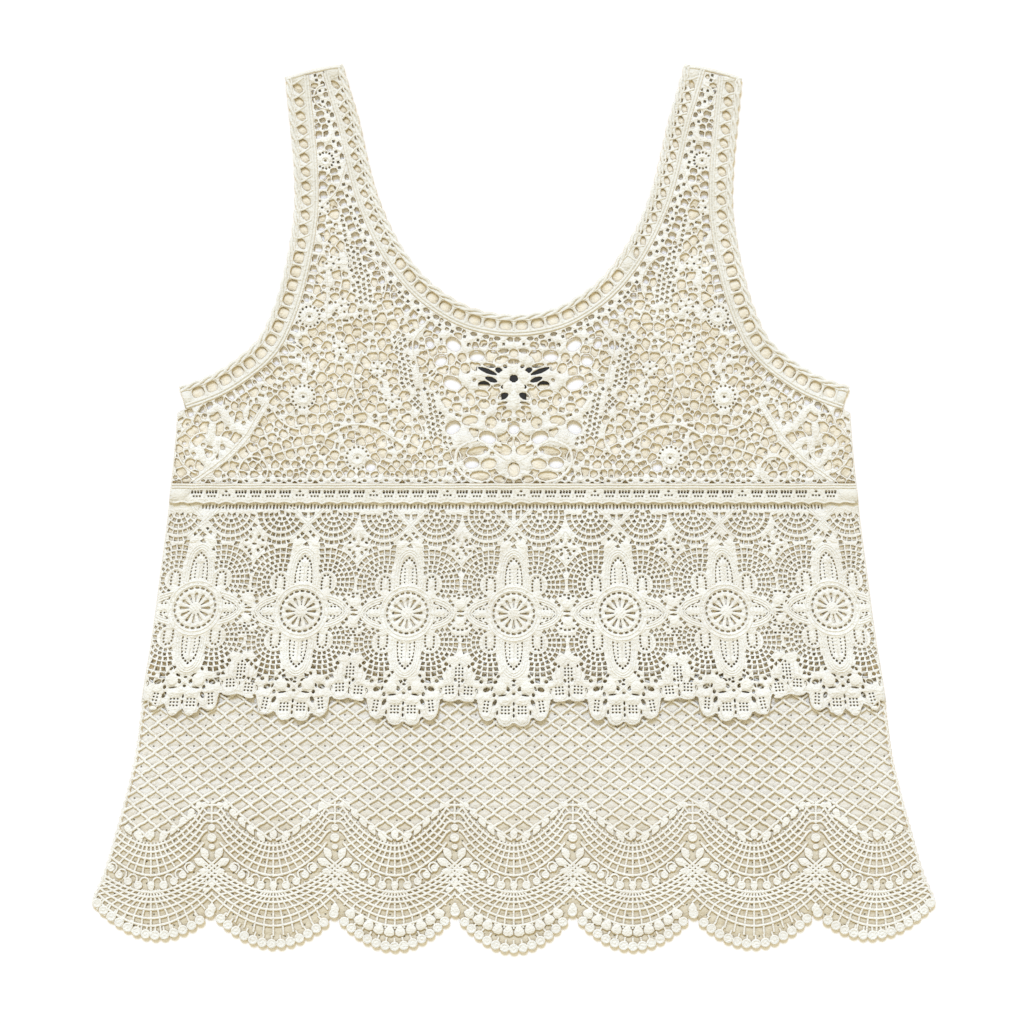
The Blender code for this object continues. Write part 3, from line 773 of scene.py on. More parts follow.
# yoke: an irregular net that spreads in fans, with rosettes, pads and a cut-out centre
yoke = {
    "bottom": 292.7,
    "backBottom": 286.2,
    "gap": 0.15,
    "thread": 1.02,
    "plate": 1.1,
    "cord": 0.68,
    "spread": 1.2,  # how much wider the cells are than the fan table says
    "dotPitch": 3.5,
    "arcShare": 0.3,  # how many of the fan arcs carry a raised cord
    "flower": 214.9,  # drop of the centre flower's eye
    "eye": (2.9, 2.6),
    "netMiddle": (133.6, 338.4),  # half and drop, of the bent square net by the side
    "netStart": 60.0,
    "netStep": 7.2,
}
centreGaps = (  # half, drop, width, height, turn of the see-through gaps
    (41.2, 191.5, 10.2, 7.6, -40), (25.2, 199.4, 9.6, 6.4, 0), (50.0, 202.2, 7.6, 6.6, 30),
    (42.0, 218.0, 12.0, 7.6, -25), (41.6, 248.4, 9.8, 7.4, 35), (30.0, 243.6, 9.6, 5.4, 10),
    (35.2, 256.4, 12.2, 8.8, 0), (17.8, 255.2, 10.6, 7.2, -15), (28.9, 272.6, 9.4, 6.4, 0),
    (17.2, 273.2, 9.6, 6.0, 10), (23.2, 281.6, 12.4, 5.4, 0), (0.0, 248.6, 6.8, 7.4, 0),
    (98.0, 274.7, 6.2, 6.4, 0), (68.6, 192.0, 5.6, 4.6, 20), (57.4, 190.4, 4.4, 6.4, 20),
)
ribGaps = (  # gaps inside the corded oval that show the back layer
    (24.6, 264.4, 14.6, 5.4, 12), (7.6, 263.4, 12.4, 7.2, -14), (8.8, 274.4, 6.2, 8.6, -8),
    (0.0, 277.2, 8.0, 9.6, 0),
    (9.6, 283.8, 8.0, 4.6, 0), (39.6, 267.6, 4.8, 9.0, 25), (38.0, 278.6, 5.6, 5.6, -30),
)
blackGaps = (  # slender gaps beside the centre flower that show the label
    (18.0, 209.8, 14.4, 3.1, -21), (15.4, 215.6, 9.0, 3.3, -19), (10.2, 209.2, 5.2, 3.6, -24),
    (20.3, 219.2, 8.6, 5.4, -6), (7.2, 227.0, 7.8, 4.4, 26), (26.9, 216.0, 2.0, 2.6, -40), (11.4, 219.8, 4.8, 1.8, 8),
)
nearGaps = (  # gaps round the centre flower that show the back layer
    (0.0, 203.4, 7.7, 3.5, 0), (0.0, 197.6, 6.0, 5.6, 0), (7.0, 196.1, 7.0, 3.0, 8), (8.2, 202.0, 9.3, 4.9, 12),
    (16.6, 206.0, 8.4, 2.6, -10), (5.9, 206.6, 2.7, 2.0, -30), (7.6, 231.9, 6.7, 1.7, 14), (8.3, 235.4, 6.5, 3.2, 14),
    (14.0, 231.0, 2.9, 3.8, 0), (20.3, 232.4, 7.4, 6.3, -10), (21.9, 225.0, 9.7, 4.4, -12),
    (29.6, 229.4, 5.6, 8.8, 20),
    (30.4, 217.6, 9.0, 6.3, -30), (16.4, 237.8, 7.7, 2.3, -24), (4.6, 239.2, 7.0, 4.4, 28),
    (22.4, 243.2, 6.3, 5.3, -10),
    (15.6, 245.0, 7.4, 8.1, -18), (9.6, 249.0, 7.2, 7.0, 0), (33.0, 208.0, 5.8, 7.4, 30), (35.4, 200.6, 5.8, 6.3, 10),
    (14.2, 192.4, 5.8, 4.6, 20), (20.8, 191.0, 5.3, 4.2, 30),
)
rosettes = ((139.7, 172.6, 6.0), (143.9, 227.4, 6.6), (106.9, 269.2, 6.6), (128.8, 65.8, 4.6))  # half, drop, radius
flowers = ((123.3, 136.3), (117.8, 165.1), (93.2, 208.2), (82.9, 230.8), (119.2, 193.9), (131.0, 98.0))
fans = (  # half, drop, first ring, ring step, cell width
    (139.7, 172.6, 10.8, 5.9, 5.0), (143.9, 227.4, 11.2, 6.2, 5.2), (106.9, 269.2, 11.2, 6.6, 6.4),
    (128.8, 65.8, 9.4, 5.2, 4.4), (123.3, 136.3, 8.2, 5.4, 4.8), (117.8, 165.1, 8.4, 5.6, 5.2),
    (93.2, 208.2, 8.4, 6.2, 5.8), (82.9, 230.8, 8.4, 6.2, 5.8), (119.2, 193.9, 8.4, 6.0, 5.6),
    (131.0, 98.0, 7.6, 5.0, 4.4), (71.2, 172.0, 4.6, 6.8, 4.8), (66.4, 199.3, 4.4, 6.6, 5.6),
    (69.2, 285.0, 6.0, 7.0, 6.6), (173.3, 196.1, 5.0, 5.4, 4.6), (157.6, 206.8, 5.4, 6.0, 5.4),
    (95.9, 180.8, 4.4, 6.2, 5.4), (108.0, 150.3, 4.4, 5.4, 4.8), (98.0, 229.4, 5.4, 6.8, 6.4),
    (123.3, 245.9, 6.0, 7.2, 7.0), (80.2, 254.2, 5.4, 7.2, 6.8), (196.7, 232.8, 6.4, 6.0, 5.2),
    (30.8, 190.5, 6.0, 5.6, 5.0), (40.7, 233.6, 5.4, 5.8, 5.4), (126.7, 118.0, 4.4, 5.2, 4.6),
    (120.3, 43.0, 5.0, 5.4, 4.4), (128.3, 22.0, 5.0, 5.6, 4.2), (212.0, 262.0, 6.0, 6.8, 6.2),
    (8.0, 192.0, 4.0, 5.2, 4.6), (178.0, 278.0, 6.0, 6.4, 7.0),
)
dotBands = (  # runs of (drop, half) with tiny holes, and how many lie abreast
    (((100.7, 113.0), (126.0, 108.9), (146.6, 104.8), (164.4, 102.1)), 4),
    (((186.3, 78.8), (202.8, 75.4), (221.9, 71.9)), 3),
    (((225.4, 56.9), (239.1, 54.8), (256.2, 51.4)), 4),
    (((9.0, 124.0), (20.0, 123.4), (30.0, 123.0)), 4),
    (((250.0, 47.0), (262.0, 44.0)), 2),
    (((176.0, 150.0), (190.0, 152.0)), 2),
)
yokeCords = (  # each a run of (drop, half)
    ((143, 128), (160, 127.4), (176, 128.6)),
    ((235.6, 69.2), (245, 69.4), (252.8, 69.2)),
    ((252.8, 126.7), (246.4, 112), (248.6, 93.8), (260.3, 75.4)),
    ((285, 219.9), (269.2, 198.7), (254.1, 184.3), (241.8, 176.7), (231, 170)),
    ((285, 216.6), (270.6, 196.2), (255.6, 181.8), (243.4, 174.2), (232.6, 167.6)),
    ((178, 60), (190, 69), (206, 66), (226, 62.5), (240, 60.5)),
    ((196, 104), (214, 110), (232, 106), (243, 96)),
    ((226, 206), (236, 216), (248, 221)),
    ((66, 114.6), (84, 120), (92, 126)),
)
centreCords = (  # thick soft cords of the oval below the flower
    ((286, 22), (283.4, 31), (277, 37.6), (270, 39.8), (263, 38.0), (258.6, 31.0), (257.0, 24.0)),
    ((256.8, 25.0), (260.6, 18.0), (266.8, 10.6), (270.6, 4.6)),
)
# place, drop, length and width of the flower, its stem and its wings
flowerRoom = ((0, 213.5, 20, 17), (0, 230, 7, 17), (17, 213, 19, 13), (-17, 213, 19, 13))
edgeRows = (  # line to follow, depth, pitch, half sizes of the cells
    (neckLine, 16.9, 7.4, 2.9, 1.3), (neckLine, 20.2, 3.7, 0.95, 0.9), (neckLine, 24.4, 5.2, 2.2, 2.8),
    (armLine, 19.4, 6.6, 2.5, 3.0),
)
lowRows = (  # drop, start, end, pitch, half sizes of the cells above the band
    (285.0, 50, 224, 7.4, 3.0, 0.62), (280.2, 54, 222, 8.2, 3.7, 2.7), (273.6, 57, 186, 7.6, 3.3, 2.8),
)
oddCells = ((260, 4.0, 1.9, 0.75), (260, 4.4, 1.7, 1.5), (160, 6.6, 4.2, 3.4))  # tries, space, half sizes
fillers = {  # tries, space, least room, half size, sides
    "front": ((5000, 5.6, 1.7, 5.6, 26), (6000, 4.4, 1.2, 3.4, 16), (4000, 2.9, 0.7, 1.4, 6)),
    "back": ((4000, 7.4, 2.0, 1.3, 6), (6000, 5.0, 1.2, 0.85, 4)),
}
strapEnd = ((1.6, 116.6), (2.6, 126.0), (5.6, 140.0), (10.0, 154.6))  # drop, half
yokeLeaves = (  # half, drop, length, width, turn
    (49.6, 234.0, 12.0, 3.8, 62), (33.6, 193.6, 9.0, 4.0, 60),
    (26.4, 247.4, 9.0, 3.6, 15), (10.6, 259.6, 7.0, 3.0, 30),
    (197.3, 240.3, 13, 5.5, 60), (206.4, 250.5, 13, 5.5, 95), (195.0, 259.6, 14, 5.5, 40),
    (213.0, 268.0, 13, 5, 70), (186.0, 251.0, 11, 4.4, 20), (205.0, 236.0, 10, 4.4, 130),
    (183.0, 238.0, 9.0, 4.0, 100), (149.0, 185.0, 9.0, 3.4, 30), (133.0, 120.0, 8.0, 3.6, 70),
    (117.0, 53.0, 8.0, 3.8, 60), (126.0, 50.0, 8.0, 3.6, 110), (112.5, 118.0, 7.0, 3.2, 80),
)


def yokeOutline(bottom):
    neck = beside(neckLine, np.linspace(0, runs(neckLine)[-1], 120), edging["neckWidth"] + 2 * yoke["gap"])[0]
    seam = beside(armLine, np.linspace(0, runs(armLine)[-1], 70), edging["armWidth"] + 2 * yoke["gap"])[0]
    seam = seam[seam[:, 0] < sideAt(seam[:, 1]) - 0.5]
    side = sidePoints(garment["length"] / 2 - seam[0][1] + 3, bottom, 8)
    base = level(np.linspace(side[-1][0], 0, 40)[1:], up(bottom))
    half = np.vstack([neck[:60][::-1], seam[::-1], side, base])[::-1]  # anticlockwise from the low centre
    half = half[half[:, 0] > 0.01]
    return np.vstack([half, mirrored(half)])


def settle(cells, wanted, room, outline, space, least):
    # add the wanted cells that have room; a cell is a seed with the space that it takes at its end
    wanted = np.array(wanted, float)
    good = insideOf(wanted[:, :2], outline) & (wanted[:, 0] > 0.8) & (roomAt(room, wanted[:, :2]) > least)
    held = np.zeros((len(cells) + len(wanted), 3))
    if cells:
        held[:len(cells)] = [(cell[0], cell[1], cell[-1]) for cell in cells]
    for row in wanted[good]:
        count = len(cells)
        near = (held[:count, 0] - row[0]) ** 2 + (held[:count, 1] - row[1]) ** 2
        if (near >= (0.5 * (held[:count, 2] + space)) ** 2).all():
            held[count] = (row[0], row[1], space)
            cells.append((*row, space))


def nearestFan(points):
    middles = np.array([(fan[0], up(fan[1])) for fan in fans])
    return np.linalg.norm(points[:, None] - middles[None], axis=2).argmin(axis=1)


def fanCells(rng, room, outline):  # cells in rings round each fan's point, and the arcs between the rings
    cells, arcs = [], []
    for number, (half, drop, first, step, width) in enumerate(fans):
        middle = np.array([half, up(drop)])
        width, step = width * yoke["spread"], step * yoke["spread"]
        count = max(5, round(2 * math.pi * first / width))
        shift = rng.uniform(0, 1)
        for ring in range(9):
            radius = first + ring * step
            if 2 * math.pi * radius / count > 1.75 * width:  # every thread that runs outwards forks
                count, shift = 2 * count, 2 * shift
            angle = 2 * math.pi * (np.arange(count) + shift) / count + rng.normal(0, 0.03)
            spots = middle + radius * np.stack([np.cos(angle), np.sin(angle)], axis=1)
            spots += rng.normal(0, 0.22, spots.shape)
            mine = nearestFan(spots) == number
            size = min(1.2 * math.pi * radius / count, 6.4)
            for (x, y), turn in zip(spots[mine], angle[mine]):
                cells.append((x, y, 0.62 * step * rng.uniform(0.9, 1.15), size, turn, 26,
                              yoke["thread"] * rng.uniform(0.85, 1.25), 0.7 if rng.uniform() < 0.6 else 0))
            if rng.uniform() > yoke["arcShare"]:
                continue
            edge = radius + 0.5 * step
            t = np.arange(0, 2 * math.pi, 1.9 / edge)
            arc = middle + edge * np.stack([np.cos(t), np.sin(t)], axis=1)
            good = insideOf(arc, outline) & (roomAt(room, arc) > 1.2) & (arc[:, 0] > 1.5)
            arcs.extend(arc[part] for part in stretches(good & (nearestFan(arc) == number), 3))
    return cells, arcs


def yokeLace(front):
    rng = np.random.default_rng(11 if front else 12)
    bottom = yoke["bottom"] if front else yoke["backBottom"]
    outline = yokeOutline(bottom)
    room = roomInside(outline, 1.0)
    fixed, pads, rings, leaves, raised, thick, cells = [[] for kind in range(7)]

    def cut(half, drop, width, height, turn, sides=12, power=2.3):
        for sign in ((1, -1) if half else (1,)):
            middle, angle = np.array([sign * half, up(drop)]), -sign * math.radians(turn)
            loop = oval(*middle, 0.5 * width, 0.5 * height, angle, sides, power)
            fixed.append((loop, middle, 0.42))
            claim(room, loop, middle, 1.1)

    def dot(x, y, size, angle=0.0):
        loop = oval(x, y, size, 0.85 * size, angle, 5)
        fixed.append((loop, np.array([x, y]), 0.25))
        claim(room, loop, np.array([x, y]), 0.9)

    for half, drop, width, height, turn in centreGaps:
        grow = 1.0 if front else 2.6
        cut(half, drop, width + grow, height + grow, turn)
    if front:
        for row in ribGaps:
            cut(*row)
        for row in blackGaps:
            cut(*row, sides=10, power=1.7)
        for row in nearGaps:
            cut(*row, sides=11, power=2.1)
        for half, drop, radius in rosettes:  # solid disc with an eye and a ring of small holes
            for sign in (1, -1):
                x, y = sign * half, up(drop)
                rings.append((x, y, 2 * radius * 0.8, 2 * radius * 0.8, 0.0, 0.9))
                dot(x, y, 1.0)
                for k in range(15):
                    angle = 2 * math.pi * (k + 0.5) / 15
                    dot(x + (radius + 0.9) * math.cos(angle), y + (radius + 0.9) * math.sin(angle), 0.82, angle)
                keepOval(room, x, y, radius + 2.2, radius + 2.2)
        for number, (half, drop) in enumerate(flowers):
            for sign in (1, -1):
                x, y = sign * half, up(drop)
                dot(x, y, 0.85)
                for k in range(5):
                    angle = sign * (2 * math.pi * k / 5 + 0.5 * number)
                    pads.append((x + 3.1 * math.cos(angle), y + 3.1 * math.sin(angle), 4.2, 3.4, angle, 0.55))
                    edge = angle + math.pi / 5
                    dot(x + 4.7 * math.cos(edge), y + 4.7 * math.sin(edge), 0.85, edge)
                keepOval(room, x, y, 5.4, 5.4)
        for rows in (*yokeCords, *centreCords):
            line = smoothLine(plan(rows), 2.2)
            (thick if rows in centreCords else raised).extend([line, mirrored(line)])
            keepLine(room, line, 0.95)
            keepLine(room, line * (-1, 1), 0.95)
        for x, drop, length, width in flowerRoom:
            keepOval(room, x, up(drop), 0.5 * length, 0.5 * width)
        for half, drop, length, width, turn in yokeLeaves:
            for sign in (1, -1):
                angle = math.radians(turn) if sign > 0 else math.pi - math.radians(turn)
                leaves.append((sign * half, up(drop), length, width, angle, 0.6))
                keepOval(room, sign * half, up(drop), 0.5 * length + 0.2, 0.5 * width + 0.2, angle)
        eyeY = up(yoke["flower"])
        fixed.append((oval(0, eyeY, *yoke["eye"]), np.array([0, eyeY]), 0.4))
        for k in range(5):  # petals round an eye, and the stem below them
            angle = math.pi / 2 + 2 * math.pi * k / 5
            pads.append((6.6 * math.cos(angle), eyeY + 6.2 * math.sin(angle), 8.2, 9.0, angle, 0.65))
        leaves.append((0, up(229.4), 15.4, 6.6, math.pi / 2, 0.75))

    # rows that follow the edgings, then the rows above the band
    wanted = []
    for line, depth, pitch, a, b in edgeRows:
        total = runs(line)[-1] / (2 if line is neckLine else 1)
        along = np.arange(2.0, total - 1.0, pitch)
        along = along + rng.uniform(-0.1, 0.1, len(along)) * pitch
        points, angles = beside(line, along, depth)
        for (x, y), angle in zip(points, angles):
            grow = rng.uniform(0.88, 1.1)
            wanted.append((x, y, a * grow, b * grow, angle, *((4, 1.2) if a < 1.5 else (8, 1.4)), 0.9))
    if front:
        for drop, start, end, pitch, a, b in lowRows:
            for half in np.arange(start, end, pitch):
                x, y = half + rng.uniform(-0.5, 0.5), up(drop + rng.uniform(-0.35, 0.35))
                wanted.append((x, y, a, b, 0.0, 8, 1.3, 0.95))
    settle(cells, wanted, room, outline, 3.4, 0.7)
    if front:
        wanted = []
        for rows, abreast in dotBands:
            line = smoothLine(plan(rows), 2.0)
            for k in range(abreast):
                along = np.arange(0.5 * yoke["dotPitch"] * (k % 2), runs(line)[-1], yoke["dotPitch"])
                across = yoke["dotPitch"] * 0.9 * (k - 0.5 * (abreast - 1))
                points = beside(line, along, across)[0]
                points = points + rng.normal(0, 0.35, points.shape)
                wanted.extend((x, y, 1.0, 0.95, rng.uniform(0, 1.5), 4, 1.1, 0.0) for x, y in points)
        for k in range(5):  # small dotted lozenge
            for row in range(5):
                x, y = 61.0 + 2.2 * (k - row), up(230.8 + 2.2 * (k + row - 4))
                wanted.append((x, y, 0.95, 0.95, 0.8, 4, 1.0, 0.0))
        settle(cells, wanted, room, outline, 2.7, 0.7)
        wanted = []
        for ring in range(6):  # a bent square net by the side
            radius = yoke["netStart"] + yoke["netStep"] * ring
            for k in range(-12, 13):
                angle = math.pi / 2 - 0.36 + 7.6 * k / radius
                half, drop = yoke["netMiddle"]
                x, y = half + radius * math.cos(angle), up(drop) + radius * math.sin(angle)
                if 128 < x < 190 and up(274) < y < up(240):
                    wanted.append((x, y, 4.2, 4.4, angle, 8, 1.45, 0.95))
        settle(cells, wanted, room, outline, 5.6, 1.4)
        for count, space, a, b in oddCells:
            spots = rng.uniform((24.0, up(bottom)), (233.0, up(30)), (count, 2))  # odd slits and cells
            wanted = [(x, y, a, b, rng.uniform(0, math.pi), 16, 1.2, 0) for x, y in spots]
            settle(cells, wanted, room, outline, space, 1.0)
        wanted, arcs = fanCells(rng, room, outline)
        for arc in arcs:
            keepLine(room, arc, 0.4, 2.5)
            raised.extend([arc, mirrored(arc)])
        settle(cells, wanted, room, outline, 5.3, 1.5)
    for tries, space, least, size, sides in fillers["front" if front else "back"]:
        spots = rng.uniform((0.5, up(bottom)), (233.0, up(0)), (tries, 2))
        turns = rng.uniform(0, math.pi, tries)
        wanted = [(x, y, size, 0.9 * size, turn, sides, yoke["thread"], 0.8) for (x, y), turn in zip(spots, turns)]
        settle(cells, wanted, room, outline, space, least)
    holes = growHoles(cells + mirrorSeeds(cells), room, sharp=24.0)
    strap = smoothLine(plan(strapEnd), 2.0)
    holes = [*fitHoles(fixed, outline), *holes]
    if not front:
        plate = lacePlate("yoke", outline, holes, backBase, garment["backWall"], 0.4)
        finishPiece("yoke_lace_back", [plate], threads["back"], "yoke_back", outline)
        return
    plate = lacePlate("yoke", outline, holes, frontBase, yoke["plate"], 0.38)
    parts = [cords("yokeCords", raised, yoke["cord"], frontBase, yoke["plate"] - 0.1),
             cords("ovalCords", thick, 1.25, frontBase, yoke["plate"] - 0.35, 1, 0.6),
             cords("strapEnds", [strap, mirrored(strap)], 1.25, frontBase, 1.0),
             copies("pads", "petal", pads, frontBase, yoke["plate"] - 0.2),
             copies("leaves", "leaf", leaves, frontBase, yoke["plate"] - 0.2),
             copies("rings", "ring", rings, frontBase, yoke["plate"] - 0.1)]
    finishPiece("yoke_lace_front", [plate], threads["front"], "yoke_front", outline, parts)


yokeLace(True)
yokeLace(False)
print("yokes made")

# insertion band: a tape with clusters of small square holes
band = {"top": 286.5, "bottom": 300.0, "pitch": 10.07, "wave": 1.8}


def bandPiece(front):
    topY, lowY = up(band["top"]), up(band["bottom"])
    across = np.linspace(-1, 1, 181)
    low = level(across * (sideAt(lowY) - 0.1), lowY)
    if front:
        low[:, 1] += band["wave"] * (np.abs(np.sin(math.pi * low[:, 0] / band["pitch"])) ** 0.6 - 0.75) - 0.2
    outline = np.vstack([low, level(across * (sideAt(topY) - 0.1), topY)[::-1]])
    seeds = []
    for k in range(-22, 22):
        x = (k + 0.5) * band["pitch"]
        if (k * 7) % 5 == 0:  # shift, depth, half sizes, turn, sides and thread of a cluster's holes
            cluster = [(0, 5.6, 2.9, 0.55, 0, 6, 1.0), *[(2.1 * j, 8.2, 0.62, 0.95, 0, 4, 0.9) for j in (-1, 0, 1)]]
        else:
            cluster = [*[(2.0 * j, 6.0, 0.7, 1.3, -0.12, 6, 0.8) for j in (-1.5, -0.5, 0.5, 1.5)],
                       *[(2.1 * j, 8.9, 0.6, 0.6, 0, 4, 0.9) for j in (-1, 0, 1)]]
        if abs(x) <= 231:
            seeds.extend((x + shift, topY - depth, *rest, 0.0) for shift, depth, *rest in cluster)
    holes = growHoles(seeds, roomInside(outline, 0.8), least=0.3)
    if not front:
        plate = lacePlate("band", outline, holes, backBase, garment["backWall"], 0.4)
        finishPiece("band_lace_back", [plate], threads["back"], "band_back", outline)
        return
    plate = lacePlate("band", outline, holes, bandBase, 1.1, 0.4)
    spans = np.linspace(-sideAt(topY) + 0.6, sideAt(topY) - 0.6, 190)
    lines = [np.column_stack([spans, topY - depth + 0.12 * np.sin(spans / 3.1)]) for depth in (1.0, 2.9)]
    lines.append((low + (0, 0.9))[1:-1])
    posts = [np.array([(k * band["pitch"], topY - depth) for depth in (3.9, 9.6)]) for k in range(-21, 22)]
    parts = [cords("bandCords", lines, 0.8, bandBase, 1.0), cords("bandPosts", posts, 0.95, bandBase, 0.6)]
    finishPiece("band_lace_front", [plate], threads["cord"], "band_front", outline, parts)


bandPiece(True)
bandPiece(False)
print("bands made")

# lace panel: seven cross motifs on a ground of small fans, with a lobed lower edge
panel = {
    "top": 293.3,
    "corner": 436.3,
    "lobeBase": 436.0,
    "lobeBow": 6.1,
    "lobeReach": 16.9,
    "lobeLoss": 3.4,
    "wheel": (4.3, 10.3),  # radii of the gaps between its spokes
    "dashRadius": 13.85,
    "ringRadii": (15.9, 18.4),
    "petalInsets": (0.7, 2.3, 3.9),
    "fanCentre": (18.5, 67.5),  # of the fans under the band, from a cross's middle
    "windowCentre": (15.6, 19.8),
    "thread": 1.14,
}
lobeEdge = (  # half, reach, dip of half a repeat
    (0, .78, 0), (1.9, .93, 0), (5.8, 1, 0), (9.8, .9, 0), (11.9, .6, 0), (14, .7, 0), (18, .78, 0),
    (22.4, .5, 0), (24.6, 0, 2.3), (27, 0, .7), (31, 0, 0), (34.6, 0, .7), (36.4, 0, 1.8),
)
# a petal's length and half width along it, from the middle of the cross
petalUp = ((13.5, 9.6), (17, 10.4), (21, 10.7), (26, 10.4), (31, 9.8), (36, 8.9), (40, 7.2), (42.6, 4.6),
           (44.0, 2.0), (44.4, 0))
petalOut = ((12.6, 12.2), (16.4, 11.7), (20, 10.8), (24, 9.4), (27.6, 7.6), (30.6, 5.2), (32.4, 2.6), (33.4, 0))
lobeGrids = (  # from a cross's middle: half, rise, columns, rows, turn of the dotted petals in a lobe
    (5.5, -65.7, 3, 3, 0), (18.3, -63.2, 2, 4, 8), (30.2, -52.4, 3, 3, 4),
)
lobeGaps = (  # half, rise, width, height, turn
    (3.9, -51.4, 2.2, 3.2, -30), (7.6, -55.7, 5.2, 1.1, -8), (12.6, -60.8, 2.3, 4.4, 24), (13.0, -55.4, 1.9, 2.6, 0),
    (18.0, -51.8, 4.6, 3.0, -20), (14.4, -51.2, 1.2, 3.0, 20), (24.2, -57.8, 4.6, 1.2, 35), (10.3, -42.9, 1.6, 2.4, 35),
    (10.9, -67.6, 1.1, 3.0, 6), (11.4, -71.8, 1.4, 1.8, 0), (23.6, -63.0, 1.2, 3.4, 10), (24.6, -52.8, 1.2, 3.4, -8),
    (5.2, -47.2, 3.2, 1.4, 30), (12.2, -46.6, 2.6, 2.0, -30), (36.6, -54.5, 1.4, 4.4, 0), (36.6, -49.6, 1.0, 2.0, 0),
    (34.0, -45.6, 1.6, 2.4, 20), (21.6, -46.4, 2.4, 2.2, 0), (0.0, -54.6, 2.0, 1.6, 0), (0.0, -48.6, 2.2, 1.4, 0),
    (0.0, -61.6, 1.1, 2.6, 0), (0.0, -65.6, 1.1, 2.6, 0), (0.0, -69.6, 1.1, 2.4, 0), (0.0, -73.4, 1.8, 1.6, 0),
)
lobePads = (  # half, rise, length, width, turn
    (8.6, -50.2, 8.8, 8.4, 0), (18.4, -57.4, 5.2, 3.2, 10), (29.4, -58.6, 7.4, 3.0, 8), (24.6, -48.8, 4.6, 3.4, 30),
    (5.5, -72.6, 6.4, 3.2, 0), (18.6, -69.6, 5.2, 3.0, 8), (5.5, -59.2, 6.0, 2.6, 0),
)
lobeFrames = ((5.5, -66.0, 4.5, 8.6, 0), (18.3, -63.0, 4.0, 7.8, 8), (30.2, -52.4, 5.6, 6.2, 4))  # the same
groundRings = {  # radius and depth of the rows round a fan's centre
    "fan": ((0.01, 3.0), (4.3, 3.3), (7.8, 3.3), (11.3, 3.5), (15.6, 4.4), (20.4, 4.6), (24.9, 4.2), (29.1, 4.2),
            (33.3, 4.2)),
    "window": ((8.9, 2.6), (11.8, 2.8), (14.8, 3.0), (18.1, 3.4), (21.8, 3.8), (25.8, 4.1), (29.9, 4.1),
               (34.0, 4.1), (38.1, 4.1)),
}
windowDots = (  # from the middle of a window: out, up, turn
    (-2.7, -4.2, 0), (-2.8, -1.9, 0), (-2.8, 0.4, 0), (-2.4, 2.7, 0.3), (-1.0, 4.6, 0.9), (1.2, 5.0, -0.9),
    (2.9, 3.4, -0.3), (3.2, 1.1, 0), (3.2, -1.2, 0), (3.1, -3.5, 0),
)
crossRoom = ((0, 0, 17.5, 17.5), (0, 29, 8.5, 13.5), (0, -29, 8.5, 13.5), (22, 0, 9.5, 7.0), (-22, 0, 9.5, 7.0))
flowerLeaves = ((0, 5.4, 7.4, 2.6, 90), (0, -5.4, 7.4, 2.6, 90), (5.0, 0, 5.4, 2.4, 0), (-5.0, 0, 5.4, 2.4, 0))


def flare(points):  # the panel widens downwards, so x is scaled by the width at each height
    points = np.array(points, float)
    points[:, 0] *= sideAt(points[:, 1]) / sideAt(up(garment["crossDrop"]))
    return points


def crossMiddles():
    return [(k * garment["crossPitch"], up(garment["crossDrop"] - garment["crossBow"] * (k / 3) ** 2))
            for k in range(-3, 4)]


def lobeLine():  # the lobed lower edge from the right side to the left one
    points = []
    for cross in range(4):
        outer = [(cross * garment["crossPitch"] + h, r, d) for h, r, d in lobeEdge]
        inner = [(cross * garment["crossPitch"] - h, r, d) for h, r, d in lobeEdge[:0:-1]] if cross else []
        for half, reach, dip in (*inner, *outer):
            bow = (half / (3 * garment["crossPitch"])) ** 2
            hang = reach * (panel["lobeReach"] - panel["lobeLoss"] * bow)
            scale = sideAt(up(panel["corner"])) / sideAt(up(garment["crossDrop"]))
            points.append((half * scale, up(panel["lobeBase"] - panel["lobeBow"] * bow + hang - dip)))
    right = np.array(points)
    right = right[np.append(np.diff(right[:, 0]) > 0.1, True)]
    right = right[right[:, 0] < sideAt(up(panel["corner"])) - 2.5]
    fine = smoothLine(np.vstack([mirrored(right)[:-1], right]), 1.3)
    bumps = 0.45 * np.abs(np.sin(math.pi * runs(fine) / 2.6))  # small picots
    return fine - leftWay(fine) * bumps[:, None]


def panelOutline():
    side = sidePoints(panel["top"], panel["corner"], 4.0)[::-1]
    topY = up(panel["top"])
    top = level(np.linspace(sideAt(topY), -sideAt(topY), 130)[1:-1], topY)
    return np.vstack([lobeLine(), side, top, side[::-1] * (-1, 1)])


def petalLoop(rows, inset):  # edge of a petal that points along +y, drawn in from its outline
    right = smoothLine([(w, h) for h, w in rows], 1.6)
    line = np.vstack([right, mirrored(right)[1:]])
    return line + leftWay(line) * inset


def wedge(start, end, thin, thick):  # a slender gap that widens outwards, along +x
    return np.array([(start, -thin), (end - 0.8, -thick), (end, -0.5 * thick), (end, 0.5 * thick),
                     (end - 0.8, thick), (start, thin)])


